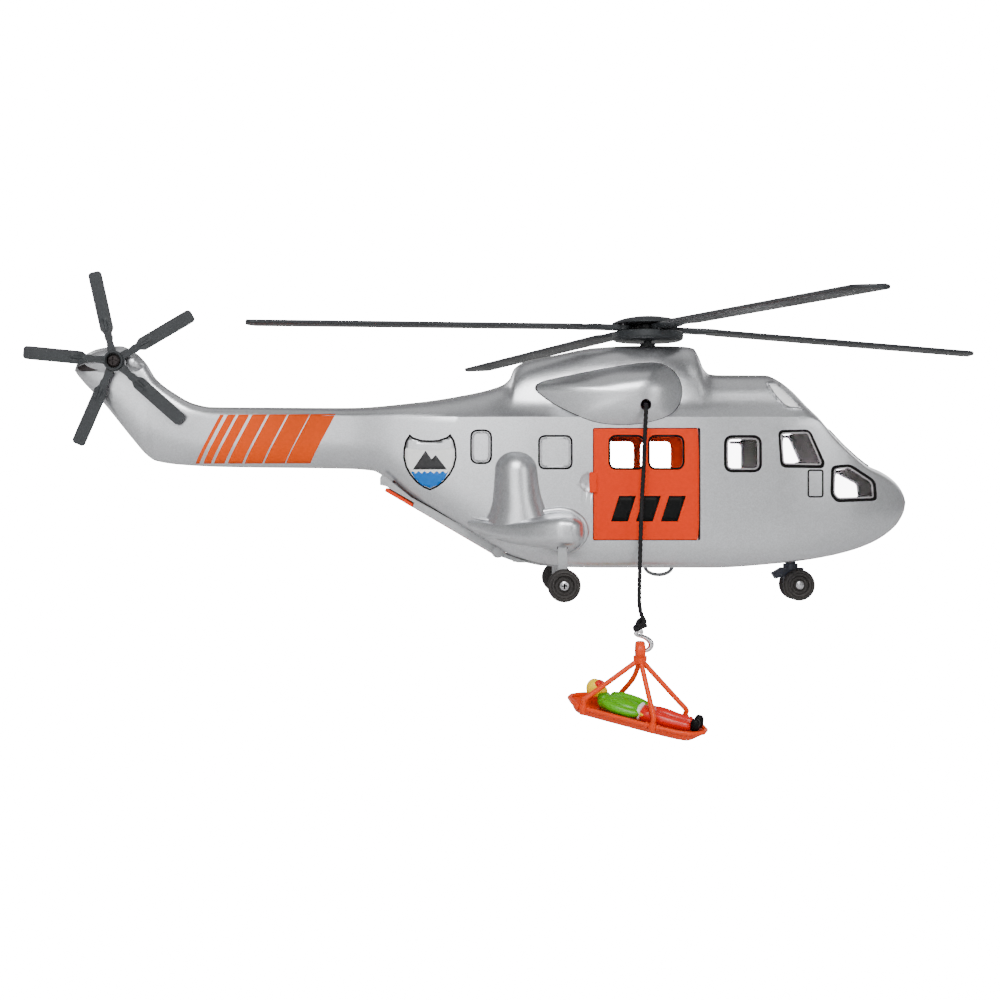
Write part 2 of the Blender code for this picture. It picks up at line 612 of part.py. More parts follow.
def base_plate():
    """The belly plate with the two ramp cheeks and hinge knuckles."""
    profile = [(-52.0, 3.0), (-42.0, 0.9), (-33.0, 0.2), (-22.0, 0.0), (23.6, 0.0),
               (23.6, 1.6), (-22.0, 1.6), (-33.0, 1.8), (-42.0, 2.5), (-51.0, 4.4), (-54.0, 5.4)]
    half = BELLY_HALF - GAP
    plate = slab("base_plate", profile, -half, half, light_grey())
    for side in (-1, 1):
        name = SIDE_NAMES[side]
        cheek = [(-101.1, 31.2), (-101.1, 30.9), ramp_line(49.4, 1.8), ramp_line(37.2, 1.9),
                 ramp_line(37.0, 0.3), ramp_line(2.0, 0.3), (-50.0, 2.0), (-47.0, 1.9),
                 (-47.0, 2.6), *CHEEK_TOP, (-101.1, 33.6)]
        low, high = side_range(side, 12.7, 14.3)
        join(plate, slab("cheek_" + name, cheek, low, high, light_grey(), CUTTERS))
        low, high = side_range(side, 11.0, 14.3)
        join(plate, block("cheek_foot_" + name, (-51.5, low, 2.2), (-47.2, high, 2.9),
                          light_grey(), CUTTERS))
        low, high = side_range(side, 12.7, 15.2)
        x, z = RAMP_HINGE
        join(plate, rod("knuckle_" + name, (x, low, z), (x, high, z), 2.5, light_grey(), CUTTERS))
    x, z = RAMP_HINGE
    cut(plate, rod("knuckle_bore", (x, -17, z), (x, 17, z), 1.2, light_grey(), CUTTERS))
    for x in (-1.0, 9.4):
        cut(plate, rod(f"ring_hole_{x}", (x, 0, -2), (x, 0, 3), 0.9, light_grey(), CUTTERS, sides=12))
    return plate


def ramp():
    outline = [ramp_line(1.0), ramp_line(RAMP_LENGTH), ramp_line(RAMP_LENGTH, RAMP_WALL),
               ramp_line(1.0, RAMP_WALL)]
    half = RAMP_HALF_WIDTH
    panel = slab("rear_ramp", outline, -half, half, orange())
    low, high = RAMP_TAB
    tab = [ramp_line(low), ramp_line(high), ramp_line(high, 1.3), ramp_line(low, 1.3)]
    join(panel, slab("ramp_tab", tab, -14.6, 14.6, orange(), CUTTERS))
    x, z = RAMP_HINGE
    join(panel, rod("ramp_barrel", (x, -half, z), (x, half, z), 2.2, orange(), CUTTERS))
    cut(panel, rod("ramp_bore", (x, -17, z), (x, 17, z), 1.2, orange(), CUTTERS))
    return panel


def ramp_pin():
    x, z = RAMP_HINGE
    return rod("ramp_hinge_pin", (x, -15.4, z), (x, 15.4, z), 0.9, steel())


def glazing():
    """The clear moulding behind the windscreen and the side windows."""
    first = LOWER_ROWS - 1
    rings = []
    for x in stations(*CAVITY):
        if not 25.0 < x < 86.0:
            continue
        outer = half_ring(x, 0.0, WALL + 0.9, first)
        inner = half_ring(x, 0.0, WALL + 1.8, first)
        outline = side_of(outer, -1) + list(reversed(outer[:-1]))
        back = inner[:-1] + list(reversed(side_of(inner, -1)))
        rings.append(outline + back)
    return loft("cockpit_glazing", rings, clear_plastic())


def cabin_interior():
    """Floor, two cockpit seats and the instrument panel, moulded in one."""
    grey = dark_grey()
    floor = block("cabin_interior", (-42, -13, 5.3), (60, 13, 6.5), grey)
    join(floor, block("front_floor", (57, -8, 6.0), (66, 8, 7.2), grey, CUTTERS))
    for side in (-1, 1):
        low, high = side_range(side, 2.0, 11.0)
        name = SIDE_NAMES[side]
        join(floor, block("seat_" + name, (44, low, 5.8), (55, high, 17.5), grey, CUTTERS))
        back = [(44.5, 16.5), (47.5, 16.5), (44.0, 36.0), (41.0, 36.0)]
        join(floor, slab("seat_back_" + name, back, low, high, grey, CUTTERS))
    panel = [(62.0, 6.4), (67.0, 6.4), (73.0, 20.0), (72.0, 24.0), (66.0, 24.0), (62.0, 18.0)]
    join(floor, slab("instrument_panel", panel, -9.0, 9.0, grey, CUTTERS))
    return floor


def mast():
    profile = [(0, 93.8), (1.5, 93.8), (1.5, 91.9), (4.0, 91.9), (4.0, 89.6), (1.5, 89.6),
               (1.5, 85.0), (MAST_RADIUS, 85.0), (MAST_RADIUS, 81.6), (4.6, 81.6), (4.6, 80.0),
               (2.2, 79.4), (2.2, 72.0), (0, 72.0)]
    return turned("main_mast", profile, (0, 0, 0), dark_grey())


def hub_disc(name, low, high, dome):
    """One disc of the hub, with holes for the mast and the blade pins."""
    if dome:
        profile = [(0, high), (5.0, high - 0.15), (9.5, high - 0.9), (12.8, high - 2.0),
                   (HUB_RADIUS, high - 2.6), (HUB_RADIUS, low + 0.4), (HUB_RADIUS - 0.4, low),
                   (1.8, low), (1.8, 94.1), (0, 94.1)]
        disc = turned(name, profile, (0, 0, 0), dark_grey(), sides=40)
    else:
        profile = [(1.8, high), (HUB_RADIUS - 0.4, high), (HUB_RADIUS, high - 0.4),
                   (HUB_RADIUS, low + 0.8), (HUB_RADIUS - 1.0, low), (1.8, low)]
        disc = turned(name, profile, (0, 0, 0), dark_grey(), sides=40, closed=True)
    for blade, azimuth in BLADE_AZIMUTHS.items():
        x, y = pin_place(azimuth)
        top = 93.1 if dome else high + 1
        bottom = low - 1 if dome else 87.0
        cut(disc, rod(f"{name}_{blade}_hole", (x, y, bottom), (x, y, top), 1.3, dark_grey(),
                      CUTTERS, sides=12))
    return disc


def pin_place(azimuth):
    angle = math.radians(azimuth)
    return PIN_CIRCLE * math.cos(angle), PIN_CIRCLE * math.sin(angle)


def blade_pin(name, azimuth):
    x, y = pin_place(azimuth)
    return rod(name + "_pin", (x, y, 87.3), (x, y, 92.8), 1.0, steel(), sides=12)


def blade(name, azimuth):
    """A blade along its own +X from the pin: eye, arm and paddle, its tip cut at a slant."""
    rings = []
    for x, back, front in BLADE_PLAN:
        fall = -BLADE_DROOP * max(x - 12.0, 0.0) / (BLADE_REACH - 12.0)
        thick, edge = (1.0, 1.0) if x < 15 else (0.85, 0.6)
        ridge = back + 0.65 * (front - back)
        rings.append([(x, back, fall - edge), (x, ridge, fall - thick), (x, front, fall - edge),
                      (x, front, fall + edge), (x, ridge, fall + thick), (x, back, fall + edge)])
    made = loft(name, rings, dark_grey())
    place = Matrix.Translation((*(v * MM for v in pin_place(azimuth)), BLADE_Z * MM))
    made.matrix_world = place @ Matrix.Rotation(math.radians(azimuth), 4, "Z")
    for tool, operation, radius, half in (("eye", join, 2.9, 1.0), ("bore", cut, 1.3, 2.0)):
        shape = rod(f"{name}_{tool}", (0, 0, -half), (0, 0, half), radius, dark_grey(), CUTTERS)
        shape.matrix_world = made.matrix_world
        operation(made, shape)
    return made


def tail_rotor():
    """Five paddles and a hub in one piece, its origin on its axis."""
    outline = []
    for k in range(5):
        angle = math.radians(TAIL_PHASE - 72 * k)
        along = Vector((math.cos(angle), math.sin(angle)))
        across = Vector((-along.y, along.x))
        side = [(3.2, 1.0), (10.0, 0.95), (12.6, 2.5), (33.4, 2.55), (TAIL_RADIUS, 1.7)]
        for reach, half in side:
            outline.append(along * reach + across * half)
        for reach, half in reversed(side):
            outline.append(along * reach - across * half)
    made = slab("tail_rotor", outline, -7.5, -6.1, dark_grey())
    hub = rod("tail_hub", (0, -TAIL_Y[1], 0), (0, -TAIL_Y[0], 0), 3.8, dark_grey(), CUTTERS, sides=24)
    recess = rod("tail_recess", (0, -9.5, 0), (0, -6.6, 0), 3.0, dark_grey(), CUTTERS, sides=24)
    bore = rod("tail_bore", (0, -9.5, 0), (0, -4, 0), 1.5, dark_grey(), CUTTERS, sides=16)
    place = Vector((TAIL_HUB[0], 0, TAIL_HUB[1])) * MM
    for item in (made, hub, recess, bore):
        item.location = place
    join(made, hub)
    cut(made, recess)
    cut(made, bore)
    return made


def tail_screw():
    """A cross-head screw: a low head with a cross cut in it, and a shank."""
    profile = [(0, 8.4), (1.8, 8.3), (2.6, 7.8), (2.6, 7.0), (1.2, 7.0), (1.2, 1.6), (0, 1.3)]
    made = turned("tail_rotor_screw", profile, (TAIL_HUB[0], 0, TAIL_HUB[1]), steel(), axis="-Y")
    for k, (wide, tall) in enumerate(((1.5, 0.3), (0.3, 1.5))):
        cut(made, block(f"cross_{k}", (TAIL_HUB[0] - wide, -9, TAIL_HUB[1] - tall),
                        (TAIL_HUB[0] + wide, -7.6, TAIL_HUB[1] + tall), steel(), CUTTERS))
    return made


def wheel(name, centre, width, side):
    """Tyre and rim in one turned piece, its origin on the axle. Height runs outboard."""
    h, r = width / 2, WHEEL_RADIUS
    profile = [(1.15, h - 0.5), (2.2, h - 0.5), (2.5, h - 1.1), (3.4, h - 1.1), (3.8, h - 0.1),
               (4.6, h), (r - 0.4, h - 0.4), (r, h - 1.2), (r, 1.2 - h), (r - 0.4, 0.4 - h),
               (4.6, -h), (1.15, -h)]
    return turned(name, profile, centre, rubber(), axis="Y" if side > 0 else "-Y", sides=24,
                  closed=True)


def main_gear(side):
    name = SIDE_NAMES[side]
    x, y, z = MAIN_WHEEL
    wheel("main_wheel_" + name, (x, side * y, z), MAIN_WHEEL_WIDTH, side)
    y0, y1 = side_range(side, 31.9, 34.3)
    strut = block("main_strut_" + name, (x - 2.0, y0, -7.4), (x + 1.2, y1, 9.0), light_grey())
    y0, y1 = side_range(side, 31.9, 36.2)
    boss = rod("boss_" + name, (x, y0, z), (x, y1, z), 2.1, light_grey(), CUTTERS)
    join(strut, boss)
    y0, y1 = side_range(side, 32.4, 38.0)
    cut(strut, rod("strut_bore_" + name, (x, y0, z), (x, y1, z), 1.15, light_grey(), CUTTERS))
    profile = [(0, 2.7), (0.9, 2.6), (1.6, 2.3), (1.6, 2.0), (AXLE_RADIUS, 2.0),
               (AXLE_RADIUS, -6.2), (0, -6.2)]
    turned("main_axle_" + name, profile, (x, side * y, z), steel(),
           axis="Y" if side > 0 else "-Y", sides=16)


def nose_gear():
    x, y, z = NOSE_WHEEL
    leg = block("nose_leg", (51.9, -2.2, -8.4), (59.2, 2.2, -0.4), navy())
    arm = [(51.0, -0.2), (53.0, -0.4), (53.0, -3.2), (48.6, -4.6), (47.2, -2.4)]
    join(leg, slab("leg_arm", arm, -2.2, 2.2, navy(), CUTTERS))
    join(leg, rod("leg_post", (NOSE_SWIVEL_X, 0, -1.0), (NOSE_SWIVEL_X, 0, 4.9), 2.0, navy(), CUTTERS))
    join(leg, rod("leg_flange", (NOSE_SWIVEL_X, 0, -1.0), (NOSE_SWIVEL_X, 0, 1.2), 2.9, navy(),
                  CUTTERS))
    cut(leg, rod("leg_bore", (x, -5, z), (x, 5, z), 1.15, navy(), CUTTERS))
    corner = [(50.0, -9.0), (53.6, -9.0), (50.0, -4.2)]
    cut(leg, slab("leg_corner", corner, -4, 4, navy(), CUTTERS))
    profile = [(0, 7.3), (0.9, 7.2), (1.5, 6.9), (1.5, 6.7), (AXLE_RADIUS, 6.7),
               (AXLE_RADIUS, -6.7), (1.5, -6.7), (1.5, -6.9), (0.9, -7.2), (0, -7.3)]
    turned("nose_axle", profile, (x, 0, z), steel(), axis="Y", sides=16)
    for side in (-1, 1):
        wheel("nose_wheel_" + SIDE_NAMES[side], (x, side * y, z), NOSE_WHEEL_WIDTH, side)


def smooth_route(points, count):
    """count points spread evenly along a smooth curve through points (Catmull-Rom)."""
    padded = [2 * Vector(points[0]) - Vector(points[1])] + [Vector(p) for p in points]
    padded.append(2 * Vector(points[-1]) - Vector(points[-2]))
    fine = []
    for k in range(1, len(padded) - 2):
        a, b, c, d = padded[k - 1:k + 3]
        for j in range(24):
            t = j / 24
            fine.append(0.5 * (2 * b + (c - a) * t + (2 * a - 5 * b + 4 * c - d) * t * t
                               + (3 * b - a - 3 * c + d) * t ** 3))
    fine.append(padded[-2])
    lengths = [0.0]
    for a, b in zip(fine, fine[1:]):
        lengths.append(lengths[-1] + (b - a).length)
    made, k = [], 0
    for j in range(count):
        want = lengths[-1] * j / (count - 1)
        while k < len(fine) - 2 and lengths[k + 1] < want:
            k += 1
        t = (want - lengths[k]) / (lengths[k + 1] - lengths[k])
        made.append(fine[k].lerp(fine[k + 1], t))
    return made


def tube(name, points, radius, finish):
    curve = bpy.data.curves.new(name, "CURVE")
    curve.dimensions = "3D"
    curve.bevel_depth = radius * MM
    curve.bevel_resolution = 2
    curve.use_fill_caps = True
    spline = curve.splines.new("POLY")
    spline.points.add(len(points) - 1)
    for target, p in zip(spline.points, points):
        target.co = (*(Vector(p) * MM), 1.0)
    curve.materials.append(finish)
    made = bpy.data.objects.new(name, curve)
    MODEL.objects.link(made)
    return made


def cargo_ring():
    points = [(-1.0, 0, 1.4), (-1.0, 0, 0.6)]
    for k in range(9):
        angle = math.pi * (1 + k / 8)
        points.append((4.2 + 5.2 * math.cos(angle), 0, 3.3 * math.sin(angle)))
    points += [(9.4, 0, 0.6), (9.4, 0, 1.4)]
    return tube("cargo_ring", points, 0.55, dark_grey())


def winch():
    """Spool and spindle in one, its rope winding, and the knob outside the port nacelle."""
    x, z = WINCH
    profile = [(0, 26.8), (1.2, 26.8), (1.2, 6.0), (4.0, 6.0), (4.0, 5.0), (1.8, 5.0),
               (1.8, -5.0), (4.0, -5.0), (4.0, -6.0), (1.2, -6.0), (1.2, -9.0), (0, -9.0)]
    turned("winch_drum", profile, (x, 0, z), dark_grey(), axis="Y", sides=16)
    turned("wound_cord", [(2.2, 4.6), (3.5, 4.6), (3.5, -4.6), (2.2, -4.6)], (x, 0, z),
           cord_black(), axis="Y", sides=16, closed=True)
    knob = turned("winch_knob", [(0, 29.0), (4.0, 28.8), (4.4, 28.2), (4.4, 25.6), (1.5, 25.2),
                                 (1.5, 27.2), (0, 27.2)], (x, 0, z), dark_grey(), axis="Y", sides=24)
    return knob


def hoist_cord():
    return tube("hoist_cord", smooth_route(CORD_ROUTE, CORD_POINTS), CORD_RADIUS, cord_black())


def hoist_knot():
    return ball("hoist_knot", (-5.1, -27.0, -19.7), (2.4, 1.6, 1.75), cord_black())


def hoist_hook():
    """An open eye that runs into a curved hook, bent from one chrome wire."""
    route = [(-5.0, -27.0, -22.6), (-6.4, -27.0, -22.8), (-6.8, -27.0, -23.6), (-5.8, -27.0, -24.2),
             (-4.0, -27.0, -24.7), (-2.2, -27.0, -25.7), (-1.2, -27.0, -27.1), (-1.5, -27.0, -28.6),
             (-2.6, -27.0, -29.5), (-3.8, -27.0, -29.75), (-5.2, -27.0, -29.7)]
    return tube("hoist_hook", smooth_route(route, 26), 0.72, steel())


def stretcher_axes():
    """The stretcher's length, width and up directions: it hangs yawed, tipped and rolled."""
    yaw, pitch, roll = (math.radians(a) for a in (STRETCHER_YAW, STRETCHER_PITCH, STRETCHER_ROLL))
    along = Vector((math.cos(yaw) * math.cos(pitch), -math.sin(yaw) * math.cos(pitch),
                    -math.sin(pitch)))
    across = Vector((math.sin(yaw) * math.cos(roll), math.cos(yaw) * math.cos(roll), math.sin(roll)))
    up = along.cross(across).normalized()
    return along, up.cross(along), up


def on_stretcher(u, v, w):
    along, across, up = stretcher_axes()
    return STRETCHER_CENTRE + along * u + across * v + up * w


def basket_ring(u, half, depth, floor_share):
    ring = [(u, -half, 0.0), (u, -half * floor_share, -depth), (u, half * floor_share, -depth),
            (u, half, 0.0)]
    return [on_stretcher(*p) for p in ring]


def stretcher_basket():
    """A shallow tray with sloping sides, drawn in at both ends."""
    outer = [basket_ring(u, half, BASKET_DEPTH * min(1.0, half / 6.0), 0.74)
             for u, half in BASKET_PLAN]
    tray = loft("stretcher_basket", outer, orange())
    inner = []
    for u, half in BASKET_PLAN:
        u = u * 0.95
        half = max(half - BASKET_WALL, 0.5)
        depth = max(BASKET_DEPTH * min(1.0, half / 4.8) - BASKET_WALL, 0.2)
        ring = [(u, -half * 1.04, 1.0), (u, -half * 0.72, -depth), (u, half * 0.72, -depth),
                (u, half * 1.04, 1.0)]
        inner.append([on_stretcher(*p) for p in ring])
    cut(tray, loft("basket_hollow", inner, orange(), CUTTERS))
    return tray


def stretcher_harness():
    """A ring for the hook, a short post and four bent arms that stand on the basket's rim."""
    height, outer, inner, half = RING
    ends = [Vector((APEX.x + reach, APEX.y, height)) for reach in (-half, half)]
    ring = rod("stretcher_harness", *ends, outer, orange(), sides=24)
    away = Vector((1.0, 0.0, 0.0))
    join(ring, rod("post", APEX + Vector((0, 0, 1.4)), APEX + Vector((0, 0, -1.6)), 2.2, orange(),
                   CUTTERS, sides=16))
    cut(ring, rod("ring_hole", ends[0] - away, ends[1] + away, inner, orange(), CUTTERS, sides=20))
    up = stretcher_axes()[2]
    for k, (u, v) in enumerate(COLLARS):
        foot = on_stretcher(u, v * 1.02, 0.7)
        knee = foot + up * 3.0
        join(ring, rod(f"arm_{k}", APEX, knee, 0.9, orange(), CUTTERS, sides=10))
        join(ring, rod(f"leg_{k}", knee + up * 0.7, foot, 1.15, orange(), CUTTERS, sides=12))
    return ring


def figure():
    """A plain figure lying in the basket: helmet, trunk, legs and boots in one."""
    turn = Matrix(stretcher_axes()).transposed().to_4x4()
    body = ball("figure", on_stretcher(-6.2, -0.3, 1.7), (9.5, 4.6, 3.4), figure_paint(), turn=turn)
    lumps = [("head", (-17.0, 1.0, 5.6), (3.2, 3.0, 3.5)), ("neck", (-14.0, 0.5, 3.4), (3.4, 2.4, 2.4)),
             ("hips", (3.5, 0.0, 1.2), (5.0, 4.2, 2.9)), ("boots", (23.0, 0.0, 2.5), (1.6, 3.2, 2.4))]
    for name, place, radii in lumps:
        join(body, ball("figure_" + name, on_stretcher(*place), radii, figure_paint(), CUTTERS, turn))
    join(body, rod("figure_legs", on_stretcher(3.0, 0, 1.1), on_stretcher(22.9, 0, 1.3), 2.7,
                   figure_paint(), CUTTERS, sides=14, radius_end=2.2))
    return body


def build():
    for side in (-1, 1):
        fuselage_shell(side)
        nacelle(side)
        door(side)
        door_pin(side)
        main_gear(side)
    base_plate()
    ramp()
    ramp_pin()
    glazing()
    cabin_interior()
    mast()
    hub_disc("hub_lower_disc", *HUB_LOWER_Z, dome=False)
    hub_disc("hub_upper_disc", *HUB_UPPER_Z, dome=True)
    for name, azimuth in BLADE_AZIMUTHS.items():
        blade(name, azimuth)
        blade_pin(name, azimuth)
    tail_rotor()
    tail_screw()
    nose_gear()
    cargo_ring()
    winch()
    hoist_cord()
    hoist_knot()
    hoist_hook()
    stretcher_basket()
    stretcher_harness()
    figure()


build()
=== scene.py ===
"""Looks of the helicopter scale model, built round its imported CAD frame.

Metres in the row frame. Sizes are written in millimetres and scaled by MM.
"""
import math

import bmesh
import bpy
from mathutils import Matrix, Vector


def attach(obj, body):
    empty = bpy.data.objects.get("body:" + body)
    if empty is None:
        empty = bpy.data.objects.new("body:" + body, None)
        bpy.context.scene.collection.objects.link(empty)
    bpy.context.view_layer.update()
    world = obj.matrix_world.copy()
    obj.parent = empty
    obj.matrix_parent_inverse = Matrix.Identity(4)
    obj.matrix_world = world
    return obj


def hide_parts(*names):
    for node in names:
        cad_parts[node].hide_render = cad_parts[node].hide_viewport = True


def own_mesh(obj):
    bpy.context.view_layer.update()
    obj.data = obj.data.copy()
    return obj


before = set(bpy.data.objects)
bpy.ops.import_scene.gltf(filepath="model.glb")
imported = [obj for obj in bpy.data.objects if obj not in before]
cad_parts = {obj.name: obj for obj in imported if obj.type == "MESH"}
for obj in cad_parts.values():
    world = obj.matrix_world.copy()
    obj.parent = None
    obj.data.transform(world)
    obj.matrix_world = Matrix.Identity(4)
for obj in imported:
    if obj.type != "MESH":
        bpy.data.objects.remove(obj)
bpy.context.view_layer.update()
MM = 0.001
SIDES = {-1: "right", 1: "left"}

# Hull lines, as in the CAD: lists of (x, value) that a smooth curve goes through.
TOP_LINE = [(-218.3, 75.0), (-217.2, 78.5), (-213.2, 81.6), (-208.8, 83.3), (-201.1, 84.2),
            (-196.0, 82.0), (-191.8, 78.2), (-187.5, 71.6), (-180.7, 66.3), (-173.0, 62.2),
            (-166.2, 60.9), (-144.8, 60.7), (-113.5, 60.5), (-88.0, 62.5), (-71.0, 65.1),
            (-56.0, 68.9), (-52.8, 71.4), (-51.0, 75.4), (-46.5, 78.2), (-36.8, 80.3),
            (-19.8, 83.4), (-2.9, 84.2), (13.0, 83.9), (17.2, 83.2), (19.0, 80.2), (20.6, 76.0),
            (23.2, 73.4), (27.0, 73.0), (44.8, 72.9), (48.4, 71.4), (53.5, 67.5), (59.4, 60.5),
            (67.0, 52.1), (73.9, 45.2), (81.9, 39.0), (88.6, 36.1), (93.5, 32.8), (97.0, 28.4),
            (98.3, 24.8)]
BOTTOM_LINE = [(-218.3, 74.6), (-217.4, 73.1), (-207.1, 62.0), (-196.0, 48.3), (-191.0, 42.6),
               (-187.5, 40.3), (-179.0, 38.9), (-162.0, 38.0), (-113.5, 37.3), (-105.0, 36.6),
               (-101.0, 34.8), (-89.0, 26.2), (-70.8, 15.6), (-60.0, 9.0), (-52.0, 4.6),
               (-42.0, 1.9), (-33.0, 0.7), (-20.0, 0.0), (22.7, 0.0), (48.3, 1.7), (60.9, 3.2),
               (72.5, 5.4), (83.4, 8.8), (92.9, 14.5), (97.3, 20.4), (98.3, 24.2)]
HALF_WIDTH = [(-218.3, 1.6), (-213.0, 3.4), (-201.0, 4.2), (-191.0, 4.0), (-187.5, 4.2),
              (-180.0, 4.9), (-166.0, 6.4), (-145.0, 8.4), (-113.5, 12.4), (-95.0, 16.2),
              (-78.0, 18.8), (-60.0, 20.5), (-45.0, 21.0), (45.0, 21.0), (60.0, 19.7),
              (72.0, 17.1), (83.0, 12.8), (90.0, 9.2), (95.0, 5.6), (97.4, 2.8), (98.3, 0.9)]
SHOULDER_LINE = [(-218.3, 74.9), (-213.0, 78.0), (-201.0, 78.5), (-191.8, 72.0), (-187.5, 66.0),
                 (-180.7, 60.0), (-173.0, 56.5), (-160.0, 55.2), (-113.0, 56.0), (56.0, 56.0),
                 (61.0, 54.5), (67.0, 48.0), (73.9, 41.5), (81.9, 35.6), (88.6, 32.3),
                 (95.0, 27.6), (98.3, 24.6)]
UPPER_RATIO = [(-218.3, 1.0), (-112.0, 1.0), (-85.0, 0.9), (-60.0, 0.78), (44.0, 0.76),
               (54.0, 0.84), (64.0, 0.97), (98.3, 1.0)]
BELLY_RATIO = [(-218.3, 0.2), (-113.0, 0.25), (-90.0, 0.55), (45.0, 0.6), (98.3, 0.3)]
LOWER_POWER = [(-218.3, 2.0), (-120.0, 2.1), (-90.0, 2.8), (-60.0, 3.8), (45.0, 3.8),
               (70.0, 2.6), (98.3, 2.0)]
WIDEST_AT, SHOULDER_RATIO, UPPER_POWER, LEDGE_HEIGHT = 0.54, 0.972, 2.3, 9.0
LOWER_ROWS, SIDE_ROWS, LEDGE_ROWS, UPPER_ROWS = 14, 7, 6, 12
SEAM, WALL, CAVITY = 0.15, 1.4, (-98.0, 93.0)
STATION_STEP, STEEPEST = 1.6, 1.1

DOOR_OPENING = (-22.1, 17.6, 10.4, 51.9)
DOOR_WINDOWS = [(-15.6, -3.6, 37.2, 48.6), (-1.0, 11.0, 37.2, 48.6)]
CABIN_WINDOW = (27.2, 39.3, 36.4, 48.3)
COCKPIT_WINDOW = [(47.0, 50.2), (57.7, 50.6), (62.7, 39.1), (62.2, 38.1), (47.9, 38.3)]
COCKPIT_FRAME = [(46.2, 51.1), (58.2, 51.4), (63.9, 39.1), (63.2, 37.0), (47.1, 37.2)]
NOSE_FRAME = [(66.3, 38.0), (73.8, 38.7), (84.1, 32.6), (84.8, 25.1), (68.3, 24.4), (65.9, 27.2)]
WINDSCREEN = [(66.2, -0.5), (81.6, -0.5), (81.6, 9.4), (67.2, 12.2)]
BLIND_WINDOWS = [(-67.0, -59.6, 38.9, 51.0), (-41.9, -29.9, 36.9, 48.9)]
NOSE_WINDOW_CUT = [(67.3, 37.1), (73.4, 37.8), (83.0, 32.1), (83.6, 26.0), (68.8, 25.5),
                   (67.0, 27.6)]
ROOF_FACET = [(42.9, 69.6), (45.3, 64.5), (48.6, 60.3), (50.7, 59.0), (56.6, 58.6), (54.0, 62.6),
              (50.6, 66.6), (46.9, 70.0)]
NACELLE = [(-43.3, 67.0), (-40.5, 69.6), (-29.3, 72.2), (-12.7, 75.4), (0.5, 76.9), (6.5, 75.2),
           (10.4, 71.0), (11.6, 66.0), (10.4, 60.8), (6.0, 56.4), (-3.0, 53.7), (-12.7, 53.0),
           (-22.7, 54.4), (-33.4, 59.2), (-40.2, 63.6)]
NACELLE_CENTRE, NACELLE_TOP = (-7.0, 64.4), 24.2
CORD_HOLE = (-2.8, 60.3, 2.07)
RAMP_HINGE, RAMP_DROP, RAMP_SLOPE = (-57.1, 6.2), 2.35, math.radians(30.4)
CHEEK_TOP = [(-54.0, 5.0), (-60.6, 10.6), (-69.6, 15.2), (-89.6, 26.4), (-100.3, 35.0)]

CORD_RADIUS = 0.85
CORD_ROUTE = [(-2.8, -20.0, 60.3), (-2.8, -23.5, 60.3), (-2.9, -26.0, 59.3), (-3.1, -27.0, 56.0),
              (-3.5, -27.1, 48.0), (-4.0, -27.0, 35.1), (-4.6, -27.0, 24.0), (-5.0, -27.0, 12.0),
              (-5.3, -27.0, 0.0), (-5.5, -27.0, -8.0), (-5.4, -27.0, -13.2), (-4.6, -27.0, -17.2)]
HOOK_Y = -27.0
KNOB_HOLE = (-15.0, 64.0, 1.7)
BLADE_AZIMUTHS = {"blade_1": 23.3, "blade_2": 116.2, "blade_3": 199.8, "blade_4": 290.2}
PIN_CIRCLE, PIN_Z = 10.0, 90.7
TAIL_HUB, TAIL_Y = (-202.0, 77.9), -6.8
WHEELS = {"main": ((-33.4, 39.0, -5.5), 4.6), "nose": ((56.9, 4.6, -6.8), 3.8)}
STRIPES = [(-171.0, 1.5), (-168.0, 3.0), (-163.9, 4.1), (-158.6, 5.6), (-152.1, 6.8),
           (-144.6, 7.9), (-136.3, 9.4)]
SHIELD_X = -82.3


def through(keys, x):
    """Value at x on the smooth curve through keys, with no overshoot between them."""
    if x <= keys[0][0]:
        return keys[0][1]
    if x >= keys[-1][0]:
        return keys[-1][1]
    spans = [b[0] - a[0] for a, b in zip(keys, keys[1:])]
    rises = [(b[1] - a[1]) / s for (a, b), s in zip(zip(keys, keys[1:]), spans)]
    slopes = [rises[0]]
    for left, right in zip(rises, rises[1:]):
        slopes.append(0.0 if left * right <= 0 else 2 * left * right / (left + right))
    slopes.append(rises[-1])
    i = max(k for k in range(len(spans)) if keys[k][0] <= x)
    t = (x - keys[i][0]) / spans[i]
    low, high = keys[i][1], keys[i + 1][1]
    return ((1 + 2 * t) * (1 - t) ** 2 * low + t * (1 - t) ** 2 * spans[i] * slopes[i]
            + t * t * (3 - 2 * t) * high + t * t * (t - 1) * spans[i] * slopes[i + 1])


STATIONS_MADE = {}


def hull_station(x, inset=0.0):
    """The sizes of the hull's cross-section at x."""
    key = (round(x, 4), inset)
    if key not in STATIONS_MADE:
        top = through(TOP_LINE, x) - inset
        bottom = through(BOTTOM_LINE, x) + inset
        wide = max(through(HALF_WIDTH, x) - inset, 0.4)
        shoulder = max(min(through(SHOULDER_LINE, x), top - 0.15), bottom + 0.1)
        STATIONS_MADE[key] = {
            "top": top, "bottom": bottom, "wide": wide, "shoulder": shoulder,
            "widest": bottom + WIDEST_AT * (shoulder - bottom),
            "shoulder_half": wide * SHOULDER_RATIO,
            "upper_half": wide * SHOULDER_RATIO * through(UPPER_RATIO, x),
            "belly_half": wide * through(BELLY_RATIO, x),
            "power": through(LOWER_POWER, x)}
    return STATIONS_MADE[key]


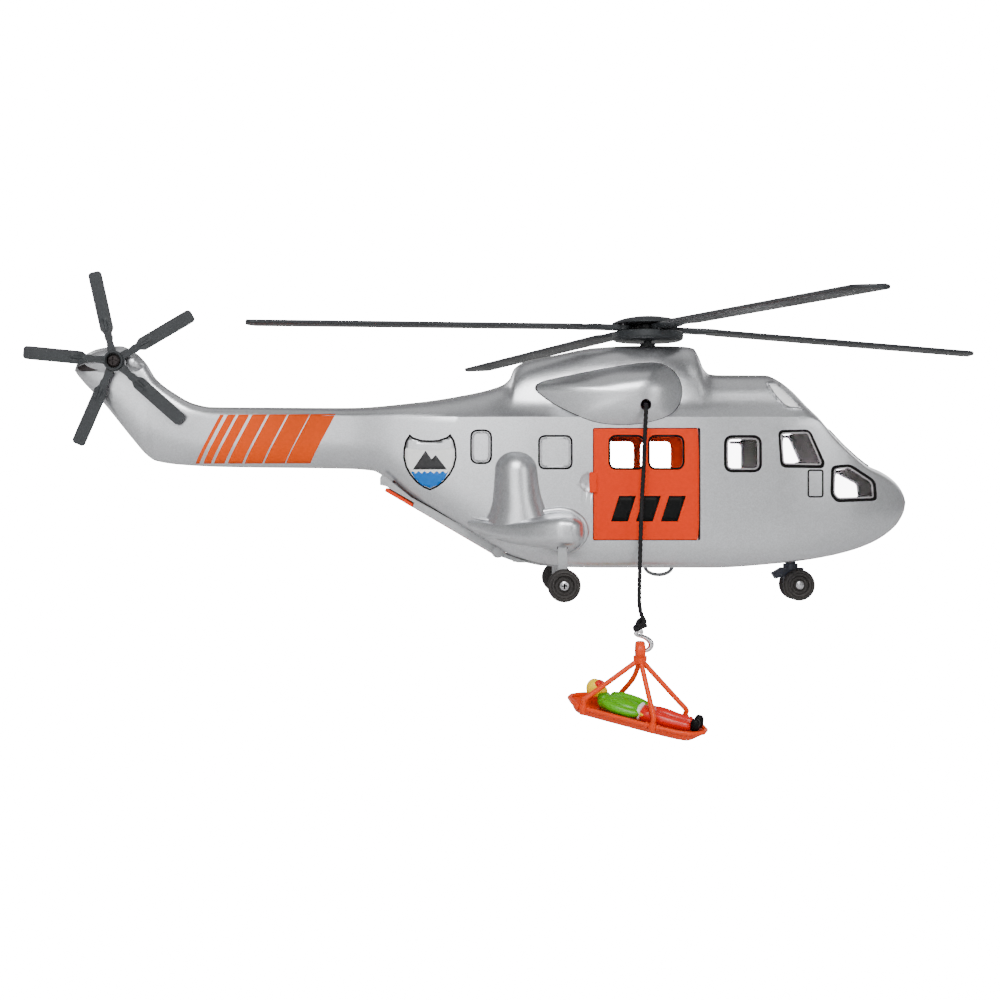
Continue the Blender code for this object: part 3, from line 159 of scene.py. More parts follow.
def hull_y(x, z, inset=0.0):
    """Half-width of the hull at x and height z."""
    s = hull_station(x, inset)
    if z <= s["widest"]:
        down = min(max((s["widest"] - z) / (s["widest"] - s["bottom"]), 0.0), 1.0)
        reach = (1 - down ** s["power"]) ** (1 / s["power"])
        return s["belly_half"] + (s["wide"] - s["belly_half"]) * reach
    if z <= s["shoulder"]:
        up = (z - s["widest"]) / (s["shoulder"] - s["widest"])
        return s["wide"] - (s["wide"] - s["shoulder_half"]) * up * up
    up = min((z - s["shoulder"]) / (s["top"] - s["shoulder"]), 1.0)
    ledge = max(1 - (z - s["shoulder"]) / LEDGE_HEIGHT, 0.0) ** 2.2
    round_part = s["upper_half"] * (1 - up ** UPPER_POWER) ** (1 / UPPER_POWER)
    return round_part + (s["shoulder_half"] - s["upper_half"]) * ledge * (1 - up ** 4)


def section_heights(x, inset=0.0):
    """Heights of the rows of points round the section, from the belly's edge to the top."""
    s = hull_station(x, inset)
    rows = []
    for k in range(LOWER_ROWS):
        fall = math.cos(math.radians(90 * k / LOWER_ROWS)) ** (2 / s["power"])
        rows.append(s["widest"] - (s["widest"] - s["bottom"]) * fall)
    for k in range(SIDE_ROWS):
        rows.append(s["widest"] + (s["shoulder"] - s["widest"]) * k / SIDE_ROWS)
    ledge = min(LEDGE_HEIGHT, 0.4 * (s["top"] - s["shoulder"]))
    for k in range(LEDGE_ROWS):
        rows.append(s["shoulder"] + ledge * (k / LEDGE_ROWS) ** 1.3)
    for k in range(UPPER_ROWS + 1):
        rise = math.sin(math.radians(90 * k / UPPER_ROWS)) ** (2 / UPPER_POWER)
        rows.append(s["shoulder"] + ledge + (s["top"] - s["shoulder"] - ledge) * rise)
    return rows


def half_ring(x, centre_y, inset=0.0):
    heights = section_heights(x, inset)
    points = [(x, max(hull_y(x, z, inset), centre_y + 0.05), z) for z in heights]
    return [(x, centre_y, heights[0])] + points + [(x, centre_y, heights[-1])]


def stations(low, high):
    """Stations along x, closer where the hull's top or bottom line is steep."""
    count = math.ceil((high - low) / STATION_STEP)
    made = [low]
    for k in range(1, count + 1):
        x = low + (high - low) * k / count
        rise = max(abs(through(line, x) - through(line, made[-1]))
                   for line in (TOP_LINE, BOTTOM_LINE))
        parts = max(1, math.ceil(rise / STEEPEST))
        start = made[-1]
        made += [start + (x - start) * j / parts for j in range(1, parts + 1)]
    return made


# Materials.

def new_material(name):
    made = bpy.data.materials.new(name)
    made.use_nodes = True
    return made, made.node_tree, made.node_tree.nodes["Principled BSDF"]


def set_inputs(node, **values):
    for name, value in values.items():
        node.inputs[name.replace("_", " ")].default_value = value


def texture(tree, kind, **values):
    """A texture node in the piece's own coordinates."""
    place = tree.nodes.new("ShaderNodeTexCoord")
    made = tree.nodes.new(kind)
    set_inputs(made, **values)
    tree.links.new(place.outputs["Object"], made.inputs["Vector"])
    return made


def noise(tree, scale, detail=2.0):
    made = texture(tree, "ShaderNodeTexNoise", Scale=scale, Detail=detail, Roughness=0.6)
    return made.outputs["Fac"]


def vary(tree, shader, socket, source, low, high, low_at=0.3, high_at=0.7):
    """Feeds a socket with a colour that runs from low to high as source does."""
    made = tree.nodes.new("ShaderNodeValToRGB")
    for end, at, colour in zip(made.color_ramp.elements, (low_at, high_at), (low, high)):
        end.position, end.color = at, (*colour, 1.0)
    tree.links.new(source, made.inputs["Fac"])
    tree.links.new(made.outputs["Color"], shader.inputs[socket])


def vary_gloss(tree, shader, source, roughness, low, high):
    vary(tree, shader, "Roughness", source, [roughness * low] * 3,
         [min(roughness * high, 1.0)] * 3)


def add_bump(tree, shader, source, height):
    made = tree.nodes.new("ShaderNodeBump")
    set_inputs(made, Distance=height * MM, Strength=1.0)
    tree.links.new(source, made.inputs["Height"])
    tree.links.new(made.outputs["Normal"], shader.inputs["Normal"])


def plastic(name, colour, roughness, spread=0.06, grain=900.0, coat=0.0, metallic=0.0, bump=0.02,
            gleam=0.5):
    """Moulded plastic or paint with fine grain: colour, roughness and relief all vary a little."""
    made, tree, shader = new_material(name)
    fine = noise(tree, grain, 3.0)
    vary(tree, shader, "Base Color", fine, [c * (1 - spread) for c in colour],
         [min(c * (1 + spread), 1.0) for c in colour])
    vary_gloss(tree, shader, noise(tree, 45.0), roughness, 0.86, 1.15)
    set_inputs(shader, Metallic=metallic, Coat_Weight=coat, Coat_Roughness=0.15,
               Specular_IOR_Level=gleam)
    add_bump(tree, shader, fine, bump)
    return made


def flake_paint(name, colour, metallic, roughness):
    """Silver paint: metal flakes as small cells of their own brightness under a satin coat."""
    made, tree, shader = new_material(name)
    cells = texture(tree, "ShaderNodeTexVoronoi", Scale=3000.0)
    split = tree.nodes.new("ShaderNodeSeparateColor")
    tree.links.new(cells.outputs["Color"], split.inputs["Color"])
    vary(tree, shader, "Base Color", split.outputs["Red"], [c * 0.92 for c in colour],
         [c * 1.07 for c in colour], 0.1, 0.9)
    vary_gloss(tree, shader, split.outputs["Green"], roughness, 0.9, 1.1)
    set_inputs(shader, Metallic=metallic, Coat_Weight=0.12, Coat_Roughness=0.3)
    add_bump(tree, shader, noise(tree, 700.0), 0.008)
    return made


def clear_pane(name):
    made, tree, shader = new_material(name)
    vary(tree, shader, "Base Color", noise(tree, 60.0), (0.88, 0.86, 0.88), (0.95, 0.93, 0.95))
    set_inputs(shader, Roughness=0.03, Transmission_Weight=1.0, IOR=1.12)
    return made


def metal(name, colour, roughness):
    made, tree, shader = new_material(name)
    brushed = noise(tree, 500.0)
    vary(tree, shader, "Base Color", brushed, [c * 0.88 for c in colour], colour)
    vary_gloss(tree, shader, brushed, roughness, 0.8, 1.3)
    set_inputs(shader, Metallic=1.0)
    add_bump(tree, shader, brushed, 0.01)
    return made


SILVER = flake_paint("silver_flake_paint", (0.57, 0.58, 0.60), 0.88, 0.33)
# Painted reflection: the roof facet is the hull's silver, coloured near white to stand for the
# bright reflections on it.
FACET = plastic("facet_painted_reflection", (0.93, 0.93, 0.94), 0.25, 0.03, coat=0.3)
ORANGE = plastic("orange_moulding", (0.74, 0.034, 0.0), 0.42, 0.04, gleam=0.12)
DEEP_ORANGE = plastic("stretcher_orange", (0.78, 0.048, 0.0), 0.34, 0.05, gleam=0.25)
STRIPE = plastic("orange_print", (0.76, 0.074, 0.0), 0.45, 0.05, gleam=0.12)
DARK = plastic("dark_grey_moulding", (0.024, 0.027, 0.030), 0.45, 0.12, gleam=0.35)
# Painted shade: near-black for the hull's inner walls, the strips behind the gaps and the tail's
# recess patch.
INSIDE = plastic("shaded_inner_wall", (0.030, 0.024, 0.026), 0.7, 0.2, bump=0.03)
GREY = plastic("light_grey_moulding", (0.36, 0.37, 0.38), 0.42, metallic=0.3)
RING_GREY = plastic("ring_grey_moulding", (0.16, 0.17, 0.175), 0.45, 0.08)
TYRE = plastic("tyre_moulding", (0.028, 0.025, 0.024), 0.6, 0.15, bump=0.04, gleam=0.3)
NAVY = plastic("navy_moulding", (0.010, 0.014, 0.030), 0.4, 0.1)
# Black print, and painted shade on the walls that the cutters leave in openings, holes and the
# pod's pocket, and in the axle heads' crosses.
BLACK = plastic("black_print_and_shade", (0.002, 0.002, 0.002), 0.5, 0.1, gleam=0.12)
WHITE = plastic("white_print", (0.86, 0.86, 0.85), 0.4, 0.02)
BLUE = plastic("blue_print", (0.0, 0.13, 0.50), 0.4, 0.05, gleam=0.2)
SMOKE = plastic("grey_print", (0.03, 0.03, 0.032), 0.45, 0.15, gleam=0.25)
RIM = plastic("clear_rim", (0.36, 0.345, 0.36), 0.15, 0.08, coat=0.4)
CORD = plastic("black_yarn", (0.010, 0.010, 0.011), 0.85, 0.3, grain=2500.0, bump=0.06, gleam=0.25)
CHROME = metal("chrome_wire", (0.72, 0.72, 0.74), 0.10)
STEEL = metal("screw_steel", (0.52, 0.52, 0.54), 0.28)
BLACK_STEEL = metal("blackened_screw", (0.030, 0.026, 0.026), 0.3)
PANE = clear_pane("clear_moulding")
YELLOW = plastic("yellow_paint", (1.0, 0.66, 0.0), 0.3, 0.03, gleam=0.25)
GREEN = plastic("green_paint", (0.085, 0.40, 0.0), 0.3, gleam=0.35)
RED = plastic("red_paint", (0.66, 0.008, 0.002), 0.3, gleam=0.35)


# Mesh helpers. Points are in millimetres.

def finish_mesh(name, mesh_bm, finish, angle=35.0):
    bmesh.ops.recalc_face_normals(mesh_bm, faces=mesh_bm.faces)
    bmesh.ops.scale(mesh_bm, vec=(MM, MM, MM), verts=mesh_bm.verts)
    mesh = bpy.data.meshes.new(name)
    mesh_bm.to_mesh(mesh)
    mesh_bm.free()
    mesh.materials.append(finish)
    mesh.shade_smooth()
    mesh.set_sharp_from_angle(angle=math.radians(angle))
    made = bpy.data.objects.new(name, mesh)
    bpy.context.scene.collection.objects.link(made)
    return made


def loft(name, rings, finish, angle=35.0):
    """A closed solid through rings of equally many points, flat at both ends."""
    bm = bmesh.new()
    rows = [[bm.verts.new(p) for p in ring] for ring in rings]
    count = len(rings[0])
    for a, b in zip(rows, rows[1:]):
        for k in range(count):
            n = (k + 1) % count
            bm.faces.new((a[k], a[n], b[n], b[k]))
    bm.faces.new(rows[0])
    bm.faces.new(rows[-1])
    return finish_mesh(name, bm, finish, angle)


def slab(name, outline, low, high, finish=BLACK, axis="Y"):
    """The outline in (x, z), or in (x, y) for axis Z, drawn out from low to high."""
    bm = bmesh.new()
    place = (lambda p, h: (p[0], h, p[1])) if axis == "Y" else (lambda p, h: (p[0], p[1], h))
    face = bm.faces.new([bm.verts.new(place(p, low)) for p in outline])
    moved = bmesh.ops.extrude_face_region(bm, geom=[face])["geom"]
    bmesh.ops.translate(bm, vec=Vector(place((0, 0), high - low)),
                        verts=[v for v in moved if isinstance(v, bmesh.types.BMVert)])
    return finish_mesh(name, bm, finish)


def circle(radius, count):
    angles = [2 * math.pi * k / count for k in range(count)]
    return [(radius * math.cos(a), radius * math.sin(a)) for a in angles]


def lathe(name, profile, centre=(0, 0, 0), finish=BLACK, axis="Z", sides=64, closed=False,
          angle=35.0):
    """A turned piece: (radius, height) points swept round the axis through centre."""
    turn = {"Z": 0, "Y": -90, "-Y": 90}[axis]
    place = Matrix.Translation(centre) @ Matrix.Rotation(math.radians(turn), 4, "X")
    bm = bmesh.new()
    rows = [[bm.verts.new(place @ Vector((*p, h))) for p in (circle(r, sides) if r else [(0, 0)])]
            for r, h in profile]
    for a, b in list(zip(rows, rows[1:])) + ([(rows[-1], rows[0])] if closed else []):
        for k in range(sides):
            n = (k + 1) % sides
            if len(a) == 1:
                bm.faces.new((a[0], b[k], b[n]))
            elif len(b) == 1:
                bm.faces.new((a[k], b[0], a[n]))
            else:
                bm.faces.new((a[k], b[k], b[n], a[n]))
    return finish_mesh(name, bm, finish, angle)


def frames_along(points):
    """(point, side, up) along a path, with no sudden twist."""
    made = []
    normal = Vector((0.0, 1.0, 0.0))
    for k, p in enumerate(points):
        ahead, behind = points[min(k + 1, len(points) - 1)], points[max(k - 1, 0)]
        along = (Vector(ahead) - Vector(behind)).normalized()
        normal = normal - along * normal.dot(along)
        if normal.length < 1e-4:
            normal = along.orthogonal()
        normal.normalize()
        made.append((Vector(p), along.cross(normal).normalized(), normal.copy()))
    return made


def sweep(name, points, finish, radius=1.0, sides=16, section=None, angle=50.0):
    """A bar along points. section(share, angle) gives the radius there when it isn't round."""
    rings = []
    for k, (p, side, up) in enumerate(frames_along(points)):
        ring = []
        for j in range(sides):
            a = 2 * math.pi * j / sides
            r = section(k / (len(points) - 1), a) if section else radius
            ring.append(p + side * (r * math.cos(a)) + up * (r * math.sin(a)))
        rings.append(ring)
    return loft(name, rings, finish, angle)


def spline(a, b, c, d, t):
    """The point at t from b to c on the smooth curve through all four (Catmull-Rom)."""
    return 0.5 * (2 * b + (c - a) * t + (2 * a - 5 * b + 4 * c - d) * t * t
                  + (3 * b - a - 3 * c + d) * t ** 3)


def smooth_route(points, count):
    """count points spread evenly along a smooth curve through points."""
    padded = [2 * Vector(points[0]) - Vector(points[1])] + [Vector(p) for p in points]
    padded.append(2 * Vector(points[-1]) - Vector(points[-2]))
    fine = [spline(*padded[k - 1:k + 3], j / 24) for k in range(1, len(padded) - 2)
            for j in range(24)]
    fine.append(padded[-2])
    lengths = [0.0]
    for a, b in zip(fine, fine[1:]):
        lengths.append(lengths[-1] + (b - a).length)
    made, k = [], 0
    for j in range(count):
        want = lengths[-1] * j / (count - 1)
        while k < len(fine) - 2 and lengths[k + 1] < want:
            k += 1
        t = (want - lengths[k]) / (lengths[k + 1] - lengths[k])
        made.append(fine[k].lerp(fine[k + 1], t))
    return made


def smooth_loop(points, count=72):
    """The closed smooth curve through points, in (x, z)."""
    total = len(points)
    per = max(2, count // total)
    corners = [[Vector(points[(k + j) % total]) for j in (-1, 0, 1, 2)] for k in range(total)]
    return [spline(*four, j / per) for four in corners for j in range(per)]


def rounded(corners, radius, steps=8):
    """The polygon through corners with each corner rounded."""
    made = []
    count = len(corners)
    for k in range(count):
        before, here, after = (Vector(corners[(k + d) % count]) for d in (-1, 0, 1))
        into, out = (before - here).normalized(), (after - here).normalized()
        reach = min(radius, 0.45 * (before - here).length, 0.45 * (after - here).length)
        start, end = here + into * reach, here + out * reach
        for j in range(steps + 1):
            t = j / steps
            made.append(tuple(start * (1 - t) ** 2 + here * 2 * t * (1 - t) + end * t * t))
    return made


def rectangle(low_x, high_x, low_z, high_z):
    return [(low_x, low_z), (high_x, low_z), (high_x, high_z), (low_x, high_z)]


def grown(outline, by):
    """The outline with every edge moved out by so much (in if negative)."""
    points = [Vector(p) for p in outline]
    area = sum(a.x * b.y - b.x * a.y for a, b in zip(points, points[1:] + points[:1]))
    turn = 1.0 if area > 0 else -1.0
    made = []
    for k, here in enumerate(points):
        normals = []
        for edge in (here - points[k - 1], points[(k + 1) % len(points)] - here):
            if edge.length > 1e-6:
                normals.append(Vector((edge.y, -edge.x)).normalized() * turn)
        middle = sum(normals, Vector((0.0, 0.0)))
        middle.normalize()
        made.append(tuple(here + middle * (by / max(middle.dot(normals[0]), 0.5))))
    return made


def band(outer, inner):
    """Four-sided polygons that fill the ring between two outlines of equally many points."""
    count = len(outer)
    return [[outer[k], outer[(k + 1) % count], inner[(k + 1) % count], inner[k]]
            for k in range(count)]


def border(outline, out, into):
    return band(grown(outline, out), grown(outline, into))


def side_of(points, side):
    return [(x, side * y, z) for x, y, z in points]


def side_range(side, low, high):
    return (low, high) if side > 0 else (-high, -low)


def columns(keys, k):
    return [(key[0], key[k]) for key in keys]


def baked(piece):
    """The piece's mesh with its modifiers applied."""
    graph = bpy.context.evaluated_depsgraph_get()
    result = bpy.data.meshes.new_from_object(piece.evaluated_get(graph))
    piece.modifiers.clear()
    piece.data = result
    return result


def carve(target, tools, finish=None):
    """Cuts the tools away. Cut faces take the tool's material, or finish covers everything."""
    for tool in tools:
        change = target.modifiers.new(tool.name, "BOOLEAN")
        change.operation = "DIFFERENCE"
        change.solver = "EXACT"
        change.material_mode = "TRANSFER"
        change.object = tool
    result = baked(target)
    result.shade_smooth()
    result.set_sharp_from_angle(angle=math.radians(35))
    for tool in tools:
        bpy.data.objects.remove(tool, do_unlink=True)
    if finish:
        result.materials.clear()
        result.materials.append(finish)
    return target


def mirrored(source, name):
    """A copy of source on the other side of the centre plane."""
    mesh = source.data.copy()
    mesh.name = name
    mesh.transform(Matrix.Scale(-1, 4, (0, 1, 0)))
    mesh.flip_normals()
    made = bpy.data.objects.new(name, mesh)
    bpy.context.scene.collection.objects.link(made)
    return made


def merge(name, parts):
    """One object from several, each keeping its own material and shading."""
    for part in parts:
        if part.modifiers:
            baked(part)
    bpy.context.view_layer.update()
    with bpy.context.temp_override(active_object=parts[0], object=parts[0],
                                   selected_objects=parts, selected_editable_objects=parts):
        bpy.ops.object.join()
    parts[0].name = parts[0].data.name = name
    return parts[0]


def place_piece(piece, body, slot_name, *nodes):
    if nodes:
        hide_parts(*nodes)
    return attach(piece, body)


def thicken(skin, outward, depth, probe=0):
    """Turns an open skin's faces to look outward and gives it depth behind them."""
    if skin.data.polygons[probe].normal.dot(Vector(outward)) < 0:
        skin.data.flip_normals()
    change = skin.modifiers.new("thickness", "SOLIDIFY")
    change.thickness = depth * MM
    change.offset = -1.0
    return skin


def soften(piece, width):
    change = piece.modifiers.new("soft_edges", "BEVEL")
    change.width = width * MM
    change.segments = 3
    change.limit_method = "ANGLE"
    change.angle_limit = math.radians(30)
    change.harden_normals = True
    return piece


def decal(name, polygons, side, finish, lift=0.05, step=2.0, depth=None):
    """A thin print that follows the hull's side. polygons are in (x, z)."""
    bm = bmesh.new()
    for polygon in polygons:
        bm.faces.new([bm.verts.new((x, 0, z)) for x, z in polygon])
    for axis in (0, 2):
        values = [v.co[axis] for v in bm.verts]
        low, high = min(values), max(values)
        cuts = max(2, math.ceil((high - low) / step))
        for k in range(1, cuts):
            point, normal = [0, 0, 0], [0, 0, 0]
            point[axis], normal[axis] = low + (high - low) * k / cuts, 1
            bmesh.ops.bisect_plane(bm, geom=bm.verts[:] + bm.edges[:] + bm.faces[:],
                                   plane_co=point, plane_no=normal)
    for v in bm.verts:
        v.co.y = side * (hull_y(v.co.x, v.co.z) + lift)
    made = finish_mesh(name, bm, finish, 60)
    return thicken(made, (0, side, 0), lift + 0.05 if depth is None else depth)


DOOR_HOLE = rounded(rectangle(*DOOR_OPENING), 0.8)
WINDOWS = [rounded(rectangle(*CABIN_WINDOW), 2.4), rounded(COCKPIT_WINDOW, 1.6),
           rounded(NOSE_WINDOW_CUT, 1.4)]
NACELLE_LOOP = smooth_loop(NACELLE)


# Camera, light and stage.

def build_camera():
    """Level, abeam the starboard side, looking to port."""
    data = bpy.data.cameras.new("camera")
    data.sensor_width, data.lens = 36.0, 58.07
    data.shift_x, data.shift_y = 0.0013, 0.0108
    data.clip_start, data.clip_end = 0.01, 30.0
    camera = bpy.data.objects.new("camera", data)
    camera.location = (-0.0568, -0.6156, 0.0213)
    camera.rotation_euler = (math.radians(90), 0, 0)
    bpy.context.scene.collection.objects.link(camera)
    bpy.context.scene.camera = camera


def build_stage():
    """A pale bowl of a floor that runs up into the backdrop, with no edge in sight."""
    profile = [(0.0, -130.0), (900.0, -130.0), (1500.0, -120.0), (2100.0, -40.0), (2600.0, 200.0),
               (2900.0, 700.0), (3000.0, 1500.0), (3000.0, 2600.0)]
    pale, tree, shader = new_material("floor_white")
    set_inputs(shader, Base_Color=(0.80, 0.80, 0.80, 1.0), Roughness=0.9)
    glow, seen, either, mix = (tree.nodes.new("ShaderNode" + kind)
                               for kind in ("Emission", "LightPath", "Math", "MixShader"))
    set_inputs(glow, Strength=18.0)
    either.operation = "MAXIMUM"
    for k, ray in enumerate(("Is Camera Ray", "Is Transmission Ray")):
        tree.links.new(seen.outputs[ray], either.inputs[k])
    for k, source in enumerate((either, shader, glow)):
        tree.links.new(source.outputs[0], mix.inputs[k])
    tree.links.new(mix.outputs[0], tree.nodes["Material Output"].inputs["Surface"])
    lathe("studio_floor", profile, finish=pale, sides=96, angle=80)


def area_light(name, place, target, size, power):
    data = bpy.data.lights.new(name, "AREA")
    data.energy = power
    data.shape = "RECTANGLE"
    data.size = data.size_y = size
    made = bpy.data.objects.new(name, data)
    made.location = place
    made.rotation_euler = (Vector(target) - Vector(place)).to_track_quat("-Z", "Y").to_euler()
    bpy.context.scene.collection.objects.link(made)


def build_lights():
    area_light("key_front", (-0.10, -1.15, 0.95), (-0.05, 0, 0.03), 0.65, 17.0)
    area_light("front_fill", (-0.45, -1.7, 0.30), (-0.05, 0, 0.03), 1.1, 9.0)
    area_light("front_right", (0.9, -1.2, 0.45), (0, 0, 0.03), 0.6, 4.0)
    area_light("top", (-0.05, 0.15, 1.2), (-0.05, 0, 0.03), 0.9, 1.2)
    area_light("back_left", (-1.1, 1.1, 0.8), (0, 0, 0.03), 0.8, 6.0)
    area_light("back_right", (1.0, 1.2, 0.6), (0, 0, 0.03), 0.8, 5.0)
    world = bpy.data.worlds.new("studio")
    world.use_nodes = True
    set_inputs(world.node_tree.nodes["Background"], Color=(1, 1, 1, 1), Strength=0.22)
    bpy.context.scene.world = world


# The hoist: cord, knot, hook.

def build_cord():
    route = smooth_route(CORD_ROUTE, 130)

    def strand(share, a):
        return CORD_RADIUS * (0.88 + 0.12 * math.cos(3 * (a - share * 90.0)))

    made = sweep("hoist_cord_yarn", route, CORD, sides=18, section=strand, angle=80)
    place_piece(made, "airframe", "cord_black", "hoist_cord")
    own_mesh(made)
    return made, route, sum((b - a).length for a, b in zip(route, route[1:]))


def build_knot():
    """Two turns of the cord pulled tight, one of them through the hook's eye."""
    turns = [(-4.5, -27.0, -17.3), (-3.9, -27.6, -18.4), (-3.6, -26.8, -19.3), (-4.6, -26.0, -19.9),
             (-6.0, -26.2, -20.6), (-7.0, -26.9, -21.2), (-6.9, -27.6, -22.0), (-6.0, -27.7, -21.6),
             (-4.8, -28.1, -20.4), (-3.9, -28.2, -19.2), (-4.2, -27.4, -18.2), (-5.4, -26.4, -18.8),
             (-6.1, -26.9, -20.0), (-5.2, -28.0, -20.9), (-4.0, -28.0, -20.7), (-3.0, -27.6, -20.3)]
    made = sweep("hoist_knot_yarn", smooth_route(turns, 120), CORD, radius=0.84, sides=14, angle=80)
    return place_piece(made, "hoist_load", "cord_black", "hoist_knot")


def build_hook():
    bends = [(-5.0, -22.6), (-6.4, -22.8), (-6.8, -23.6), (-5.8, -24.2), (-4.0, -24.7),
             (-2.2, -25.7), (-1.2, -27.1), (-1.5, -28.6), (-2.6, -29.5), (-3.8, -29.75),
             (-5.2, -29.7)]

    def wire(share, a):
        body = 0.72 + 0.32 * math.exp(-((share - 0.62) / 0.2) ** 2)
        return body * min(1.0, 0.35 + 8 * (1 - share))

    route = smooth_route([(x, HOOK_Y, z) for x, z in bends], 90)
    bar = sweep("bar", route, CHROME, sides=20, section=wire, angle=80)
    ring = circle(1.15, 40)
    eye = [(-5.6 + x, HOOK_Y, -22.9 + z) for x, z in ring + ring[:1]]
    loop = sweep("eye", eye, CHROME, radius=0.5, sides=14, angle=80)
    return place_piece(merge("hoist_hook_wire", [bar, loop]), "hoist_load", "steel", "hoist_hook")


build_camera()
build_stage()
build_lights()
CORD_PIECE, CORD_PATH, CORD_LENGTH = build_cord()
LOAD_PIECES = [build_knot(), build_hook()]


# The fuselage.

def hollow(name, centre, radii, finish):
    """A rounded tool for a shallow hollow."""
    bm = bmesh.new()
    place = Matrix.Translation(centre) @ Matrix.Diagonal((*radii, 1.0))
    bmesh.ops.create_uvsphere(bm, u_segments=40, v_segments=24, radius=1.0, matrix=place)
    return finish_mesh(name, bm, finish, 80)


def ramp_line(s, lift):
    """The point s along the closed ramp's slope from the hinge and lift above it."""
    return (RAMP_HINGE[0] - math.cos(RAMP_SLOPE) * s + math.sin(RAMP_SLOPE) * lift,
            RAMP_HINGE[1] - RAMP_DROP + math.sin(RAMP_SLOPE) * s + math.cos(RAMP_SLOPE) * lift)


def hull_cutters(side):
    # The walls these tools cut take their black: painted shade in the openings, the mast and swivel
    # holes and the aft recess; the dimple takes the silver.
    recess = ([(-50.0, 0.0), (-50.0, 3.0)] + [(x + 0.2, z + 0.4) for x, z in CHEEK_TOP]
              + [(-101.6, 33.8), (-101.6, 20.0), (-60.0, 0.0)])
    ramp = [ramp_line(*corner) for corner in rectangle(-6.0, 48.5, -8.0, 9.0)]
    openings = (
        ("door_opening", DOOR_HOLE, 8.0, 32.0),
        ("cabin_window", WINDOWS[0], 8.0, 32.0),
        ("cockpit_window", WINDOWS[1], 8.0, 32.0),
        ("nose_window", WINDOWS[2], 5.0, 32.0),
        ("nacelle_opening", NACELLE_LOOP, 8.0, 32.0),
        ("ramp_opening", ramp, -1.0, 12.4),
        ("belly_opening", rectangle(-60.0, 24.0, -3.0, 3.2), -1.0, 12.0),
        ("hinge_opening", rectangle(-65.0, -44.6, -5.0, 9.6), -1.0, 15.6),
        ("cheek_recess", recess, 12.0, 14.7))
    return [slab(name, outline, *side_range(side, low, high))
            for name, outline, low, high in openings] + [
        lathe("mast_hole", [(0, 90), (3.5, 90), (3.5, 78), (0, 78)], sides=48),
        lathe("swivel_hole", [(0, 6), (2.4, 6), (2.4, -2), (0, -2)], (54.5, 0, 0), sides=32),
        slab("windscreen_opening", [(x, side * y) for x, y in WINDSCREEN], 36.0, 60.0, axis="Z"),
        hollow("dimple", (-23.4, side * 21.8, 31.7), (4.2, 1.7, 4.2), SILVER),
        hollow("aft_recess", (-214.4, side * 5.2, 75.9), (3.4, 2.4, 1.6), BLACK)]


def build_hull():
    outer = loft("hull_right", [side_of(half_ring(x, SEAM), -1) for x in stations(-218.2, 98.2)],
                 SILVER)
    # The cavity's cut walls take this near-black: painted shade inside the hull.
    cavity = loft("cavity", [side_of(half_ring(x, -1.0, WALL), -1) for x in stations(*CAVITY)],
                  INSIDE)
    carve(outer, [cavity] + hull_cutters(-1))
    left = mirrored(outer, "hull_left")
    place_piece(outer, "airframe", "silver_paint", "fuselage_right_shell")
    place_piece(left, "airframe", "silver_paint", "fuselage_left_shell")


POD_KEYS = [(-68.5, 0.4, 16.2, 0.9), (-64.0, 2.6, 15.5, 2.3), (-57.4, 6.6, 14.0, 3.6),
            (-50.0, 11.0, 13.4, 5.0), (-44.6, 14.4, 13.6, 6.0), (-38.0, 17.2, 13.7, 7.2),
            (-34.0, 18.2, 13.6, 7.9), (-30.6, 18.1, 13.6, 7.6), (-28.2, 17.2, 13.7, 6.4),
            (-26.9, 15.2, 13.9, 5.0), (-26.2, 11.8, 14.1, 3.6), (-25.9, 8.0, 14.2, 2.4)]
POD_LIP = [(-66.6, 18.9), (-63.0, 18.2), (-59.0, 17.6), (-54.0, 17.6), (-49.0, 18.6), (-43.0, 20.2),
           (-38.0, 21.2), (-33.5, 21.5), (-29.4, 20.4), (-26.2, 17.8), (-24.8, 14.4), (-25.3, 11.0),
           (-27.4, 7.8), (-30.3, 5.8)]
POD_ROOT = 19.2


def build_pod(side):
    """The sponson: a long bulge with a soft root, closed in a round nose at its front end."""
    rings = []
    low, high = POD_KEYS[0][0], POD_KEYS[-1][0]
    for x in [low + (high - low) * math.sin(math.pi / 2 * k / 64) for k in range(65)]:
        proud, middle, half = (through(columns(POD_KEYS, k), x) for k in (1, 2, 3))
        ring = []
        for k in range(64):
            a = 2 * math.pi * (k + 0.5) / 64
            c, s = math.cos(a), math.sin(a)
            across = math.sqrt(c) if c > 0 else 0.0
            up = math.copysign(math.sqrt(abs(s)), s)
            flare = 0.80 * (1.0 + 0.16 * (1 - across)) if c > 0 else 0.93
            out = POD_ROOT + (proud * across if c > 0 else -0.6)
            ring.append((x, side * out, middle + half * up * flare))
        rings.append(ring)
    made = loft("pod_shell", rings, SILVER, 70)
    # The pocket's walls take the cutter's black: painted shade.
    carve(made, [slab("pocket", rectangle(-35.7, -31.9, -2.0, 9.4), *side_range(side, 31.6, 34.6))])
    lip = smooth_route([(x, side * (hull_y(x, z) + 0.15), z) for x, z in POD_LIP], 60)

    def bead(share, a):
        return 1.35 * min(1.0, 0.15 + 5 * share, 0.15 + 5 * (1 - share))

    edge = sweep("pod_lip", lip, SILVER, sides=20, section=bead, angle=80)
    return place_piece(merge("pod_" + SIDES[side], [made, edge]), "airframe", "silver_paint")


def swelling(reach):
    """Height share of a rounded swelling: 1 in the middle, a soft foot that ends at 1.2."""
    if reach >= 1.2:
        return 0.0
    if reach <= 0.86:
        return math.sqrt(1 - reach * reach)
    start, slope = math.sqrt(1 - 0.86 ** 2), -1.685
    t = (reach - 0.86) / 0.34
    return start * (2 * t ** 3 - 3 * t * t + 1) + 0.34 * slope * (t ** 3 - 2 * t * t + t)


